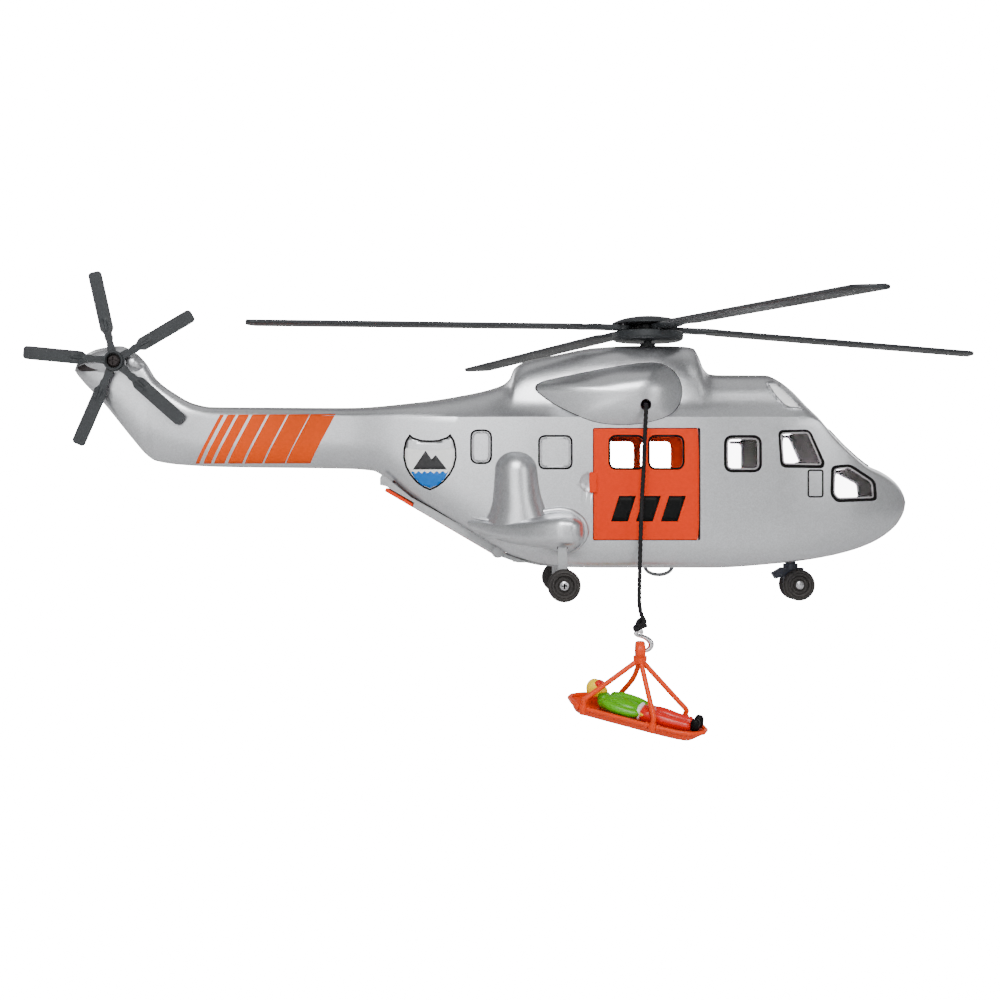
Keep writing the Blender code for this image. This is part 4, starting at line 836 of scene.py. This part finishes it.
def bell_height(x, z):
    centre = through([(12.0, -49.3), (21.5, -49.6), (30.0, -50.2), (43.0, -50.6)], z)
    half = through([(12.0, 13.0), (18.0, 10.6), (21.5, 9.0), (25.0, 8.0), (30.0, 7.3), (36.0, 6.8)],
                   z)
    proud = through([(12.0, 8.2), (20.0, 6.9), (30.0, 5.6), (37.0, 4.9), (43.0, 4.4)], z)
    return proud * swelling(math.hypot(abs(x - centre) / half, max(z - 36.2, 0.0) / 6.2))


def below_ridge(x, z):
    """1 on the tail's side, falling to 0 just under its top line."""
    return min(max((through(TOP_LINE, x) - 0.7 - z) / 1.2, 0.0), 1.0)


def fairing_height(x, z):
    return 1.5 * swelling(math.hypot((x + 204.0) / 11.5, (z - 78.6) / 4.6)) * below_ridge(x, z)


def bulb_height(x, z):
    return 2.4 * swelling(math.hypot((x + 195.0) / 3.6, (z - 78.2) / 3.7)) * below_ridge(x, z)


def bulge(name, low, high, height, side, step):
    """A swelling of the hull's side over a rectangle in (x, z), as one closed skin."""
    wide, tall = (math.ceil((high[k] - low[k]) / step) for k in (0, 1))
    bm = bmesh.new()
    grid = []
    for k in range(tall + 1):
        z = low[1] + (high[1] - low[1]) * k / tall
        row = []
        for j in range(wide + 1):
            x = low[0] + (high[0] - low[0]) * j / wide
            row.append(bm.verts.new((x, side * (hull_y(x, z) - 0.12 + height(x, z)), z)))
        grid.append(row)
    for a, b in zip(grid, grid[1:]):
        for j in range(wide):
            if any(height(v.co.x, v.co.z) > 0 for v in (a[j], a[j + 1], b[j], b[j + 1])):
                bm.faces.new((a[j], a[j + 1], b[j + 1], b[j]))
    bmesh.ops.delete(bm, geom=[v for v in bm.verts if not v.link_faces], context="VERTS")
    made = finish_mesh(name, bm, SILVER, 80)
    return thicken(made, (0, side, 0), 0.6, probe=len(made.data.polygons) // 2)


def build_bell(side):
    """The bulge above the sponson, growing softly out of the hull."""
    made = bulge("bell_" + SIDES[side], (-64.0, 11.0), (-36.0, 44.4), bell_height, side, 0.45)
    return place_piece(made, "airframe", "silver_paint")


def build_tail_details(side):
    """The gearbox fairing's bulge, the round bulb at its front end and a dark recess aft, the
    recess a flat patch of painted shade.
    """
    # Painted shade: the aft recess is a flat near-black patch raised a little over the hull.
    recess = [(-217.2, 76.0), (-213.5, 77.1), (-206.0, 76.6), (-206.2, 74.8), (-211.5, 74.2),
              (-216.0, 74.4)]
    parts = [bulge("fairing", (-218.0, 73.0), (-190.5, 84.0), fairing_height, side, 0.4),
             bulge("bulb", (-200.0, 73.0), (-190.0, 83.4), bulb_height, side, 0.3),
             decal("recess", [rounded(recess, 0.8)], side, INSIDE, lift=0.45, step=0.8)]
    return place_piece(merge("tail_details_" + SIDES[side], parts), "airframe", "silver_paint")


def build_gap_shades(side):
    """Painted shade: dark strips inside the wall behind the gaps round the door and the nacelle
    cover.
    """
    parts = [decal(name, border(outline, out, into), side, INSIDE, lift=-1.75, step=6.0, depth=0.4)
             for name, outline, out, into in (("door", DOOR_HOLE, 1.6, -1.1),
                                              ("cover", NACELLE_LOOP, 1.4, -1.6))]
    return place_piece(merge("gap_shades_" + SIDES[side], parts), "airframe", "silver_paint")


def build_cargo_ring():
    """A flat half-round eye under the belly."""
    outline = []
    for radius, depth, first, turn, ends in ((5.8, 3.75, 1, 1, (10.0, 8.6)),
                                             (4.4, 2.35, 2, -1, (-0.2, -1.6))):
        for k in range(41):
            a = math.pi * (first + turn * k / 40)
            outline.append((4.2 + radius * math.cos(a), depth * math.sin(a)))
        outline += [(x, 1.4) for x in ends]
    made = soften(slab("belly_eye", outline, -0.62, 0.62, RING_GREY), 0.3)
    return place_piece(made, "airframe", "dark_grey_plastic", "cargo_ring")


def build_ramp_pin():
    """The ramp's hinge pin with a low domed head at each end."""
    end = [(0, 15.75), (1.1, 15.7), (1.9, 15.55), (2.3, 15.3), (0.9, 15.3)]
    made = lathe("ramp_pin", end + [(r, -h) for r, h in reversed(end)], finish=GREY, sides=40)
    made.data.transform(Matrix.Rotation(math.pi / 2, 4, "X"))
    made.data.transform(Matrix.Translation(Vector((RAMP_HINGE[0], 0, RAMP_HINGE[1])) * MM))
    return place_piece(made, "airframe", "steel", "ramp_hinge_pin")


def build_axle_crosses():
    """Painted shade: black crosses in the heads of the main axles, standing for their cross
    recesses.
    """
    (x, _, z), _ = WHEELS["main"]
    for side in (-1, 1):
        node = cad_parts["main_axle_" + SIDES[side]]
        face = max(abs((node.matrix_world @ Vector(c)).y) for c in node.bound_box) / MM
        parts = [slab("cross", rounded(rectangle(x - wide, x + wide, z - tall, z + tall), 0.1, 2),
                      *side_range(side, face - 0.3, face + 0.02))
                 for wide, tall in ((1.05, 0.26), (0.26, 1.05))]
        place_piece(merge("axle_cross_" + SIDES[side], parts), "main_wheel_" + SIDES[side], "steel")


def build_nacelle(side):
    scales = [0.08 + 0.92 * (k / 15) ** 0.8 for k in range(16)]
    centre = Vector(NACELLE_CENTRE)
    count = len(NACELLE_LOOP)
    bm = bmesh.new()

    def layer(shrink, drop):
        rows = []
        for scale in scales:
            row = []
            for point in NACELLE_LOOP:
                edge = centre + (point - centre) * shrink
                here = centre + (edge - centre) * scale
                rim = hull_y(edge.x, edge.y) + 0.5
                depth = NACELLE_TOP - (NACELLE_TOP - rim) * scale ** 2.6 - drop
                row.append(bm.verts.new((here.x, side * depth, here.y)))
            rows.append(row)
        tip = bm.verts.new((centre.x, side * (NACELLE_TOP - drop), centre.y))
        for k in range(count):
            bm.faces.new((tip, rows[0][k], rows[0][(k + 1) % count]))
        for a, b in zip(rows, rows[1:]):
            for k in range(count):
                n = (k + 1) % count
                bm.faces.new((a[k], b[k], b[n], a[n]))
        return rows[-1]

    outer, inner = layer(0.985, 0.0), layer(0.93, WALL)
    for k in range(count):
        n = (k + 1) % count
        bm.faces.new((outer[k], outer[n], inner[n], inner[k]))
    made = finish_mesh("nacelle_cover_" + SIDES[side], bm, SILVER)
    x, z, radius = CORD_HOLE if side < 0 else KNOB_HOLE
    hole = lathe("hole", [(0, 12), (radius, 12), (radius, -12), (0, -12)], (x, side * 22.0, z),
                 axis="Y", sides=40)
    carve(made, [hole], SILVER)
    return place_piece(made, "airframe", "silver_paint", "nacelle_" + SIDES[side])


def build_door(side):
    """The door: the hull's curve, open windows with black rims, a finger tab and a print."""
    name = SIDES[side]
    x0, x1, z0, z1 = (v + gap for v, gap in zip(DOOR_OPENING, (0.3, -0.5, 0.3, -0.3)))
    xs = [x0, x0 + 0.25, x1 - 1.2, x1 - 0.5, x1] + [x0 + (x1 - x0) * k / 14 for k in range(1, 14)]
    heights = [z0 + (z1 - z0) * k / 33 for k in range(34)]
    rings = []
    for x in sorted(xs):
        ease = 0.22 if x == x0 else (0.45 if x == x1 else (0.12 if x > x1 - 0.6 else 0.0))
        rings.append([(x, side * (hull_y(x, z) - ease), z) for z in heights]
                     + [(x, side * (hull_y(x, z) - WALL), z) for z in reversed(heights)])
    panel = loft("door_panel_" + name, rings, ORANGE)
    edges = [rounded(rectangle(*window), 2.4) for window in DOOR_WINDOWS]
    tools = [slab(f"window_{k}", edge, *side_range(side, 12.0, 30.0))
             for k, edge in enumerate(edges)]
    tools.append(slab("groove", rectangle(16.1, 17.6, 9.0, 53.0), *side_range(side, 17.0, 20.45)))
    carve(panel, tools, ORANGE)
    tab = slab("tab", rounded(rectangle(-23.4, -20.6, 28.0, 35.5), 0.5, 4),
               *side_range(side, 20.6, 22.1), ORANGE)
    parts = [panel, soften(tab, 0.25)]
    for k, edge in enumerate(edges):
        parts.append(decal(f"rim_{k}", border(edge, 0.75, 0.02), side, BLACK, lift=0.06, step=3.0))
    for k in range(3):
        left = -15.4 + 9.2 * k
        bar = [(left, 17.4), (left + 6.2, 17.4), (left + 9.2, 26.8), (left + 3.0, 26.8)]
        parts.append(decal(f"mark_{k}", [bar], side, BLACK))
    made = merge("door_skin_" + name, parts)
    return place_piece(made, "door_" + name, "orange_plastic", "door_" + name)


def build_prints(side):
    """Stripes on the boom, outlined windows and the shield."""
    parts = []
    for k, (left, wide) in enumerate(STRIPES):
        bar = [(left - 0.9, 39.2), (left + wide - 0.9, 39.2), (left + wide + 9.0, 57.6),
               (left + 9.0, 57.6)]
        parts.append(decal(f"stripe_{k}", [bar], side, STRIPE, step=1.0))
    for k, window in enumerate(BLIND_WINDOWS):
        edge = rounded(rectangle(*window), 2.4 if k else 2.8)
        parts.append(decal(f"outline_{k}", border(edge, 0.38, -0.32), side, BLACK, 0.06, 3.0))
        parts.append(decal(f"sill_{k}", border(edge, -0.5, -1.1), side, SILVER, 0.16, 3.0))
    frames = (grown(WINDOWS[0], 0.95), rounded(COCKPIT_FRAME, 2.2), rounded(NOSE_FRAME, 2.0))
    for k, (outline, outer) in enumerate(zip(WINDOWS, frames)):
        parts.append(decal(f"frame_{k}", band(outer, outline), side, BLACK, 0.07))
        parts.append(decal(f"bevel_{k}", border(outline, 0.02, -0.65), side, RIM, -0.12))
    panel = rounded(rectangle(57.5, 63.0, 26.5, 36.3), 0.8)
    facet = rounded(ROOF_FACET, 1.6)
    # The facet patch is painted reflection: near white over the silver roof facet.
    parts += [decal("panel_line", border(panel, 0.28, -0.28), side, BLACK, 0.06, 3.0),
              decal("facet_rim", border(facet, 0.2, -1.0), side, SILVER, 0.34, 1.0),
              decal("facet", [grown(facet, -0.95)], side, FACET, 0.1, 1.0), screen_edge(side)]
    parts += shield(side)
    return place_piece(merge("prints_" + SIDES[side], parts), "airframe", "silver_paint")


def shield(side):
    """A plain shield: black rim, silver head, white field, grey peaks and a wavy blue foot."""
    half = [(0.0, 47.4), (3.2, 47.6), (6.2, 48.6), (7.6, 49.8), (9.2, 47.3), (9.9, 44.2),
            (10.0, 41.0), (9.2, 37.6), (7.6, 34.6), (5.2, 31.8), (2.4, 29.8), (0.0, 28.8)]
    outline = half + [(-x, z) for x, z in half[-2:0:-1]]
    inner = grown(outline, -0.7)
    field = [(x, min(z, 43.8 + 0.012 * x ** 2)) for x, z in inner]
    wave = [(-7.0 + 14.0 * k / 28, 35.6 + 0.45 * math.sin(k * 1.4)) for k in range(29)]
    foot = wave + [(5.6, 33.3), (3.2, 31.0), (0, 29.7), (-3.2, 31.0), (-5.6, 33.3)]
    peaks = [(-6.4, 36.6), (-1.6, 43.6), (0.6, 40.4), (2.2, 42.0), (6.4, 36.6)]
    prints = (("rim", outline, BLACK, 0.04), ("head", inner, SILVER, 0.08),
              ("field", field, WHITE, 0.1), ("foot", foot, BLUE, 0.12),
              ("peak", peaks, SMOKE, 0.12))
    return [decal("shield_" + name, [[(SHIELD_X + x, z) for x, z in shape]], side, finish, lift,
                  1.5) for name, shape, finish, lift in prints]


def build_panes():
    """The clear moulding: panes just inside the window openings on both sides."""
    parts = []
    for side in (-1, 1):
        parts += [decal(f"pane_{k}_{SIDES[side]}", [grown(outline, -0.03)], side, PANE, lift=-0.35,
                        step=1.6, depth=0.7) for k, outline in enumerate(WINDOWS)]
        parts.append(windscreen(side))
    return place_piece(merge("cockpit_panes", parts), "airframe", "clear_plastic",
                       "cockpit_glazing")


def screen_edge(side):
    """The black bead round one half of the windscreen opening."""
    corners = [(66.1, 0.0), (67.1, 12.3), (81.8, 9.5), (81.8, 0.0)]
    edge = [(x0 + (x1 - x0) * k / 12, y0 + (y1 - y0) * k / 12)
            for (x0, y0), (x1, y1) in zip(corners, corners[1:]) for k in range(12)]
    points = [(x, side * y, hull_top(x, y)) for x, y in edge + corners[-1:]]
    return sweep("screen_edge", smooth_route(points, 110), BLACK, radius=0.42, sides=10, angle=80)


def windscreen(side):
    bm = bmesh.new()
    rows = []
    for k in range(17):
        row = []
        for j in range(11):
            y = (12.05 - 2.75 * k / 16) * j / 10
            low = 66.3 + 0.08 * y
            x = low + (81.5 - low) * k / 16
            row.append(bm.verts.new((x, side * y, hull_top(x, y) - 0.35)))
        rows.append(row)
    for a, b in zip(rows, rows[1:]):
        for j in range(10):
            bm.faces.new((a[j], a[j + 1], b[j + 1], b[j]))
    return thicken(finish_mesh("windscreen_" + SIDES[side], bm, PANE, 80), (0, 0, 1), 0.7)


def hull_top(x, y):
    """Height of the hull's upper surface at x and y."""
    s = hull_station(x)
    low, high = s["shoulder"], s["top"]
    for _ in range(30):
        middle = (low + high) / 2
        if hull_y(x, middle) > y:
            low = middle
        else:
            high = middle
    return low


# Rotors.

def build_blades():
    plan = [(2.2, -2.3, 2.3), (7.0, -2.2, 2.2), (12.0, -2.6, 2.6), (17.0, -5.8, 3.8),
            (20.5, -5.8, 5.8), (139.0, -5.8, 5.8), (142.0, -3.9, 5.8), (144.0, -1.0, 5.2),
            (144.6, 1.0, 4.2)]
    xs = [2.2 + 18.3 * k / 24 for k in range(25)] + [20.5 + 118.5 * k / 24 for k in range(1, 25)]
    xs += [139.0 + 5.6 * math.sin(math.pi / 2 * k / 12) for k in range(1, 13)]
    rings = []
    for x in xs:
        back, front = (through(columns(plan, k), x) for k in (1, 2))
        fall = -3.7 * max(x - 12.0, 0.0) / 132.6
        t = min(max((x - 13.0) / 5.0, 0.0), 1.0)
        thick, edge = 1.0 - 0.12 * t, 1.0 - 0.42 * t
        under, over = [], []
        for share in (0.0, 0.03, 0.35, 0.65, 0.97, 1.0):
            y = back + share * (front - back)
            rise = 1 - abs(share - 0.65) / (0.65 if share < 0.65 else 0.35)
            depth = edge - 0.22 if share in (0.0, 1.0) else edge + (thick - edge) * rise
            under.append((x, y, fall - depth))
            over.append((x, y, fall + depth))
        rings.append(under + over[::-1])
    for name, azimuth in BLADE_AZIMUTHS.items():
        made = loft("rotor_" + name, rings, DARK, 25)
        eye = lathe("eye", [(1.3, 1.0), (2.7, 1.0), (2.9, 0.8), (2.9, -0.8), (2.7, -1.0),
                            (1.3, -1.0)], finish=DARK, sides=40, closed=True)
        carve(made, [lathe("bore", [(0, 3), (2.0, 3), (2.0, -3), (0, -3)], sides=40)], DARK)
        made = merge("rotor_" + name, [made, eye])
        angle = math.radians(azimuth)
        pin = Vector((PIN_CIRCLE * math.cos(angle), PIN_CIRCLE * math.sin(angle), PIN_Z)) * MM
        made.data.transform(Matrix.Translation(pin) @ Matrix.Rotation(angle, 4, "Z"))
        place_piece(made, name, "dark_grey_plastic", name)


def build_hub():
    upper = [(0, 95.3), (3.0, 95.27), (6.0, 95.05), (9.0, 94.5), (11.4, 93.8), (12.8, 93.2),
             (13.4, 92.85), (13.6, 92.55), (13.6, 92.3), (13.4, 92.1), (1.8, 92.1), (1.8, 94.1),
             (0, 94.1)]
    lower = [(1.8, 89.3), (13.3, 89.3), (13.6, 89.0), (13.6, 87.0), (13.3, 86.5), (12.6, 86.1),
             (1.8, 86.1)]
    for name, profile in (("hub_upper", upper), ("hub_lower", lower)):
        made = lathe(name + "_cap", profile, finish=DARK, sides=96, closed=profile is lower,
                     angle=30)
        place_piece(made, "main_rotor", "dark_grey_plastic", name + "_disc")


def build_tail_rotor():
    centre_x, centre_z = TAIL_HUB
    widths = [(2.0, 1.6), (5.0, 1.4), (7.6, 1.15), (9.0, 1.5), (10.2, 1.35), (12.6, 2.5),
              (30.0, 2.55), (33.2, 2.5), (34.0, 2.1), (34.4, 1.5)]
    parts = []
    for blade in range(5):
        angle = math.radians(102.5 - 72 * blade)
        along = Vector((math.cos(angle), 0, math.sin(angle)))
        across = Vector((-along.z, 0, along.x))
        rings = []
        for reach in [2.0 + 32.4 * j / 90 for j in range(91)]:
            half = through(widths, reach)
            t = min(max((reach - 11.0) / 3.0, 0.0), 1.0)
            edge = 0.75 - 0.4 * t
            crown = edge + 0.35 * min(1.0, t * 3) * min(max((17.0 - reach) / 2.5, 0.0), 1.0)
            section = ((-1.0, edge), (-0.28, edge), (-0.16, crown), (0.16, crown), (0.28, edge),
                       (1.0, edge), (1.0, -edge), (-1.0, -edge))
            ring = [along * reach + across * (v * half) + Vector((0, TAIL_Y - h, 0))
                    for v, h in section]
            rings.append([(p.x + centre_x, p.y, p.z + centre_z) for p in ring])
        parts.append(loft(f"tail_blade_{blade}", rings, DARK, 30))
    parts.append(lathe("tail_hub", [(1.5, 6.6), (2.9, 6.6), (2.9, 8.4), (3.15, 8.6), (3.55, 8.6),
                                    (3.8, 8.3), (3.8, 5.2), (3.6, 5.0), (1.5, 5.0)],
                       (centre_x, 0, centre_z), DARK, axis="-Y", closed=True))
    made = merge("tail_rotor_moulding", parts)
    place_piece(made, "tail_rotor", "dark_grey_plastic", "tail_rotor")


# Landing gear.

def build_wheel(kind, side):
    (x, y, z), width = WHEELS[kind]
    h, r = width / 2, 5.95
    out = [(1.15, h - 0.5), (1.9, h - 0.5), (2.1, h - 0.7), (2.3, h - 1.2), (3.2, h - 1.2),
           (3.45, h - 0.9), (3.65, h - 0.12), (3.9, h), (4.35, h), (4.5, h - 0.22),
           (4.65, h - 0.02), (5.1, h - 0.08), (5.5, h - 0.35), (5.8, h - 0.8), (r, h - 1.35)]
    grooves = [(r - deep, c + off) for c in (0.75, 0.0, -0.75)
               for deep, off in ((0, 0.16), (0.28, 0.12), (0.28, -0.12), (0, -0.16))]
    back = [(r, 1.35 - h), (5.8, 0.8 - h), (5.1, 0.08 - h), (4.4, -h), (1.15, -h)]
    made = lathe(f"{kind}_tyre_{SIDES[side]}", out + grooves + back, (x, side * y, z), TYRE,
                 axis="Y" if side > 0 else "-Y", sides=96, closed=True, angle=28)
    node = f"{kind}_wheel_{SIDES[side]}"
    place_piece(made, node, "tyre_plastic", node)


# The stretcher.

def stretcher_axes(yaw, pitch, roll):
    along = Vector((math.cos(yaw) * math.cos(pitch), -math.sin(yaw) * math.cos(pitch),
                    -math.sin(pitch)))
    across = Vector((math.sin(yaw) * math.cos(roll), math.cos(yaw) * math.cos(roll),
                     math.sin(roll)))
    up = along.cross(across).normalized()
    return along, up.cross(along), up


STRETCHER_CENTRE = Vector((-6.5, HOOK_Y, -52.6))
ALONG, ACROSS, UP = stretcher_axes(*(math.radians(a) for a in (22.0, 11.5, 12.0)))
BASKET_PLAN = [(-26.0, 1.6), (-22.5, 6.0), (-19.0, 8.0), (4.0, 8.2), (17.0, 7.6), (22.5, 5.8),
               (26.0, 2.0)]
BASKET_SIDE = [(1.0, 0.0), (0.95, 0.5), (0.86, 0.85), (0.74, 1.0)]
BASKET_INSIDE = [(1.0, 0.0), (0.93, 0.5), (0.74, 1.0)]
COLLARS = [(-17.9, -8.0), (8.9, -8.0), (-9.2, 8.0), (16.2, 7.6)]
APEX = Vector((-5.2, HOOK_Y, -33.0))


def on_stretcher(u, v, w):
    return STRETCHER_CENTRE + ALONG * u + ACROSS * v + UP * w


def blob(name, centre, radii, finish, power=2.0):
    """A rounded lump with superellipse sections, on the stretcher's axes."""
    bm = bmesh.new()
    bmesh.ops.create_uvsphere(bm, u_segments=32, v_segments=20, radius=1.0)
    basis = Matrix((ALONG, ACROSS, UP)).transposed()
    for v in bm.verts:
        p = [math.copysign(abs(c) ** (2.0 / power), c) * r for c, r in zip(v.co, radii)]
        v.co = on_stretcher(*centre) + basis @ Vector(p)
    return finish_mesh(name, bm, finish, 80)


def tray_side(half, depth, shares, side):
    return [(side * half * out, -depth * down) for out, down in shares]


def build_basket():
    """The tray: a folded floor with sloping sides, a round lip and three floor ribs."""
    us = [-26.0 + 52.0 * (0.5 - 0.5 * math.cos(math.pi * k / 48)) for k in range(49)]
    wide = {u: max(through(BASKET_PLAN, u), 1.2) for u in us}
    rings = []
    for u in us:
        half = wide[u]
        depth = 3.6 * min(1.0, half / 6.0)
        inside = max(half - 1.0, 0.3), max(depth - 1.0, 0.15)
        section = (tray_side(half, depth, BASKET_SIDE, -1)
                   + tray_side(half, depth, BASKET_SIDE[::-1], 1)
                   + tray_side(*inside, BASKET_INSIDE, 1)
                   + tray_side(*inside, BASKET_INSIDE[::-1], -1))
        rings.append([tuple(on_stretcher(u * (1 + 0.012 * w), v, w)) for v, w in section])
    loop = [on_stretcher(u, -wide[u] + 0.3, -0.1) for u in us]
    loop += [on_stretcher(u, wide[u] - 0.3, -0.1) for u in reversed(us)]
    parts = [loft("tray", rings, DEEP_ORANGE),
             sweep("lip", loop + [loop[0]], DEEP_ORANGE, radius=0.8, sides=12, angle=80)]
    for u in (-15.0, -2.0, 12.0):
        parts.append(sweep("rib", [on_stretcher(u, v, -2.5) for v in (-5.4, 0.0, 5.4)], DEEP_ORANGE,
                           radius=0.5, sides=10))
    return place_piece(merge("stretcher_tray", parts), "hoist_load", "orange_plastic",
                       "stretcher_basket")


def build_harness():
    """The hook's ring, a short post and four bent arms that clasp the basket's lip."""
    half = [(1.35, 1.2), (1.55, 1.5), (2.2, 1.8), (3.0, 1.75), (3.5, 1.3), (3.6, 0.7)]
    ring = lathe("ring", half + [(r, -h) for r, h in reversed(half)], finish=DEEP_ORANGE,
                 closed=True, angle=60)
    ring.data.transform(Matrix.Translation(Vector((APEX.x, HOOK_Y, -29.7)) * MM)
                        @ Matrix.Rotation(math.radians(90), 4, "Y"))

    def swell(share, a):
        return 2.5 - 0.9 * max(share - 0.45, 0.0) ** 1.2

    def collar(share, a):
        return 1.15 + 0.4 * math.sin(math.pi * share) ** 0.8

    post = [(APEX.x, HOOK_Y, z) for z in (-31.6, -32.6, -33.6, -34.4)]
    parts = [ring, sweep("post", smooth_route(post, 12), DEEP_ORANGE, sides=28, section=swell)]
    for k, (u, v) in enumerate(COLLARS):
        v -= math.copysign(0.1, v)
        lip = on_stretcher(u, v, -0.1)
        knee = lip + UP * 3.4
        start = APEX + Vector((0, 0, 0.3))
        bow = Vector((0.9, 0, -0.9)) if k == 2 else Vector()
        route = [start] + [start.lerp(knee, share) + bow * bent
                           for share, bent in ((0.25, 0.7), (0.5, 1.0), (0.8, 0.5))]
        route += [knee, knee - UP * 1.2, lip]
        parts.append(sweep(f"arm_{k}", smooth_route(route, 40), DEEP_ORANGE, radius=0.96))
        parts.append(sweep(f"clasp_{k}", smooth_route([lip + UP * 1.5, lip, lip - UP * 2.3], 16),
                           DEEP_ORANGE, sides=20, section=collar))
        for reach in (-2.2, 2.2):
            spot = on_stretcher(u + reach, v, -0.1)
            parts.append(sweep("stop", [spot - ALONG * 0.45, spot, spot + ALONG * 0.45],
                               DEEP_ORANGE, radius=1.15, sides=20))
    return place_piece(merge("stretcher_straps", parts), "hoist_load", "orange_plastic",
                       "stretcher_harness")


def limb(name, points, finish, thick):
    """A rounded tapering limb through points on the stretcher's axes."""
    route = smooth_route([on_stretcher(*p) for p in points], 28)
    widths = [(k / (len(thick) - 1), t) for k, t in enumerate(thick)]

    def section(share, a):
        end = min(share, 1 - share)
        cap = math.sqrt(max(1 - (1 - end * 9) ** 2, 0.02)) if end < 1 / 9 else 1.0
        return through(widths, share) * cap

    return sweep(name, route, finish, sides=18, section=section, angle=80)


def build_figure():
    """A plain painted figure on its back: helmet, jacket, arms, trousers and boots."""
    arm_near = [(-12.4, -3.0, 2.4), (-8.0, -4.3, 1.8), (-2.0, -4.4, 1.3), (2.2, -3.6, 1.5)]
    arm_far = [(-12.0, 3.2, 2.8), (-7.0, 4.0, 3.2), (-1.0, 3.4, 3.4), (3.4, 2.2, 3.2)]
    leg_near = [(3.4, -2.0, 0.9), (9.0, -2.2, 1.1), (15.0, -2.0, 0.9), (21.6, -1.8, 1.0)]
    leg_far = [(3.4, 2.0, 1.2), (9.0, 2.2, 1.4), (15.0, 2.1, 1.2), (21.6, 1.9, 1.3)]
    parts = [
        blob("jacket", (-6.6, -0.2, 1.5), (8.6, 4.1, 3.0), GREEN, 2.5),
        blob("collar", (-13.2, 0.3, 2.8), (2.4, 2.8, 2.2), GREEN, 2.2),
        limb("arm_near", arm_near, GREEN, [1.7, 1.9, 1.7, 1.35]),
        limb("arm_far", arm_far, GREEN, [1.6, 1.8, 1.6, 1.25]),
        blob("hand_near", (3.4, -3.3, 1.6), (1.5, 1.1, 1.0), YELLOW),
        blob("hand_far", (4.4, 1.9, 3.4), (1.4, 1.1, 1.0), YELLOW),
        blob("helmet", (-17.6, 1.0, 5.2), (3.0, 3.0, 3.4), YELLOW, 2.1),
        blob("chin", (-14.5, 1.0, 5.0), (2.0, 1.9, 1.6), YELLOW, 2.2),
        blob("neck", (-14.6, 0.8, 3.4), (1.9, 1.9, 2.0), YELLOW),
        blob("visor", (-16.0, 1.0, 7.3), (1.7, 2.3, 1.2), RED, 2.6),
        blob("belt", (1.6, -0.2, 1.4), (1.1, 4.2, 2.95), WHITE, 2.6),
        blob("hips", (4.4, -0.2, 1.2), (3.6, 4.2, 2.8), RED, 2.6),
        limb("leg_near", leg_near, RED, [2.3, 2.5, 2.1, 1.8]),
        limb("leg_far", leg_far, RED, [2.3, 2.5, 2.1, 1.8]),
        blob("boot_near", (22.7, -1.8, 2.0), (1.7, 1.6, 2.5), BLACK, 2.6),
        blob("boot_far", (22.9, 1.9, 2.3), (1.7, 1.6, 2.5), BLACK, 2.6)]
    return place_piece(merge("stretcher_figure", parts), "hoist_load", "figure_paint", "figure")


CAD_LOOKS = (
    (GREY, 0.35, "base_plate"), (ORANGE, 0.25, "rear_ramp"), (DARK, 0.3, "cabin_interior"),
    (DARK, 0.15, "main_mast winch_knob"), (GREY, 0.3, "main_strut_right main_strut_left"),
    (STEEL, 0.1, "main_axle_right main_axle_left nose_axle"),
    (STEEL, 0.1, "blade_1_pin blade_2_pin blade_3_pin blade_4_pin"),
    (STEEL, 0, "door_hinge_pin_right door_hinge_pin_left"), (NAVY, 0.3, "nose_leg"),
    (BLACK_STEEL, 0.08, "tail_rotor_screw"), (DARK, 0, "winch_drum"), (CORD, 0, "wound_cord"))


def dress_cad_nodes():
    """Materials and soft edges for the CAD pieces that show as they are."""
    for finish, edge, names in CAD_LOOKS:
        for name in names.split():
            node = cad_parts[name]
            node.data.materials.clear()
            node.data.materials.append(finish)
            node.data.shade_smooth()
            node.data.set_sharp_from_angle(angle=math.radians(35))
            if edge:
                soften(node, edge)


build_hull()
for which in (-1, 1):
    for build in (build_pod, build_bell, build_nacelle, build_door, build_prints,
                  build_tail_details, build_gap_shades):
        build(which)
build_panes()
build_blades()
build_hub()
build_tail_rotor()
for which in (-1, 1):
    build_wheel("main", which)
    build_wheel("nose", which)
build_cargo_ring()
build_ramp_pin()
build_axle_crosses()
LOAD_PIECES += [build_basket(), build_harness(), build_figure()]
dress_cad_nodes()
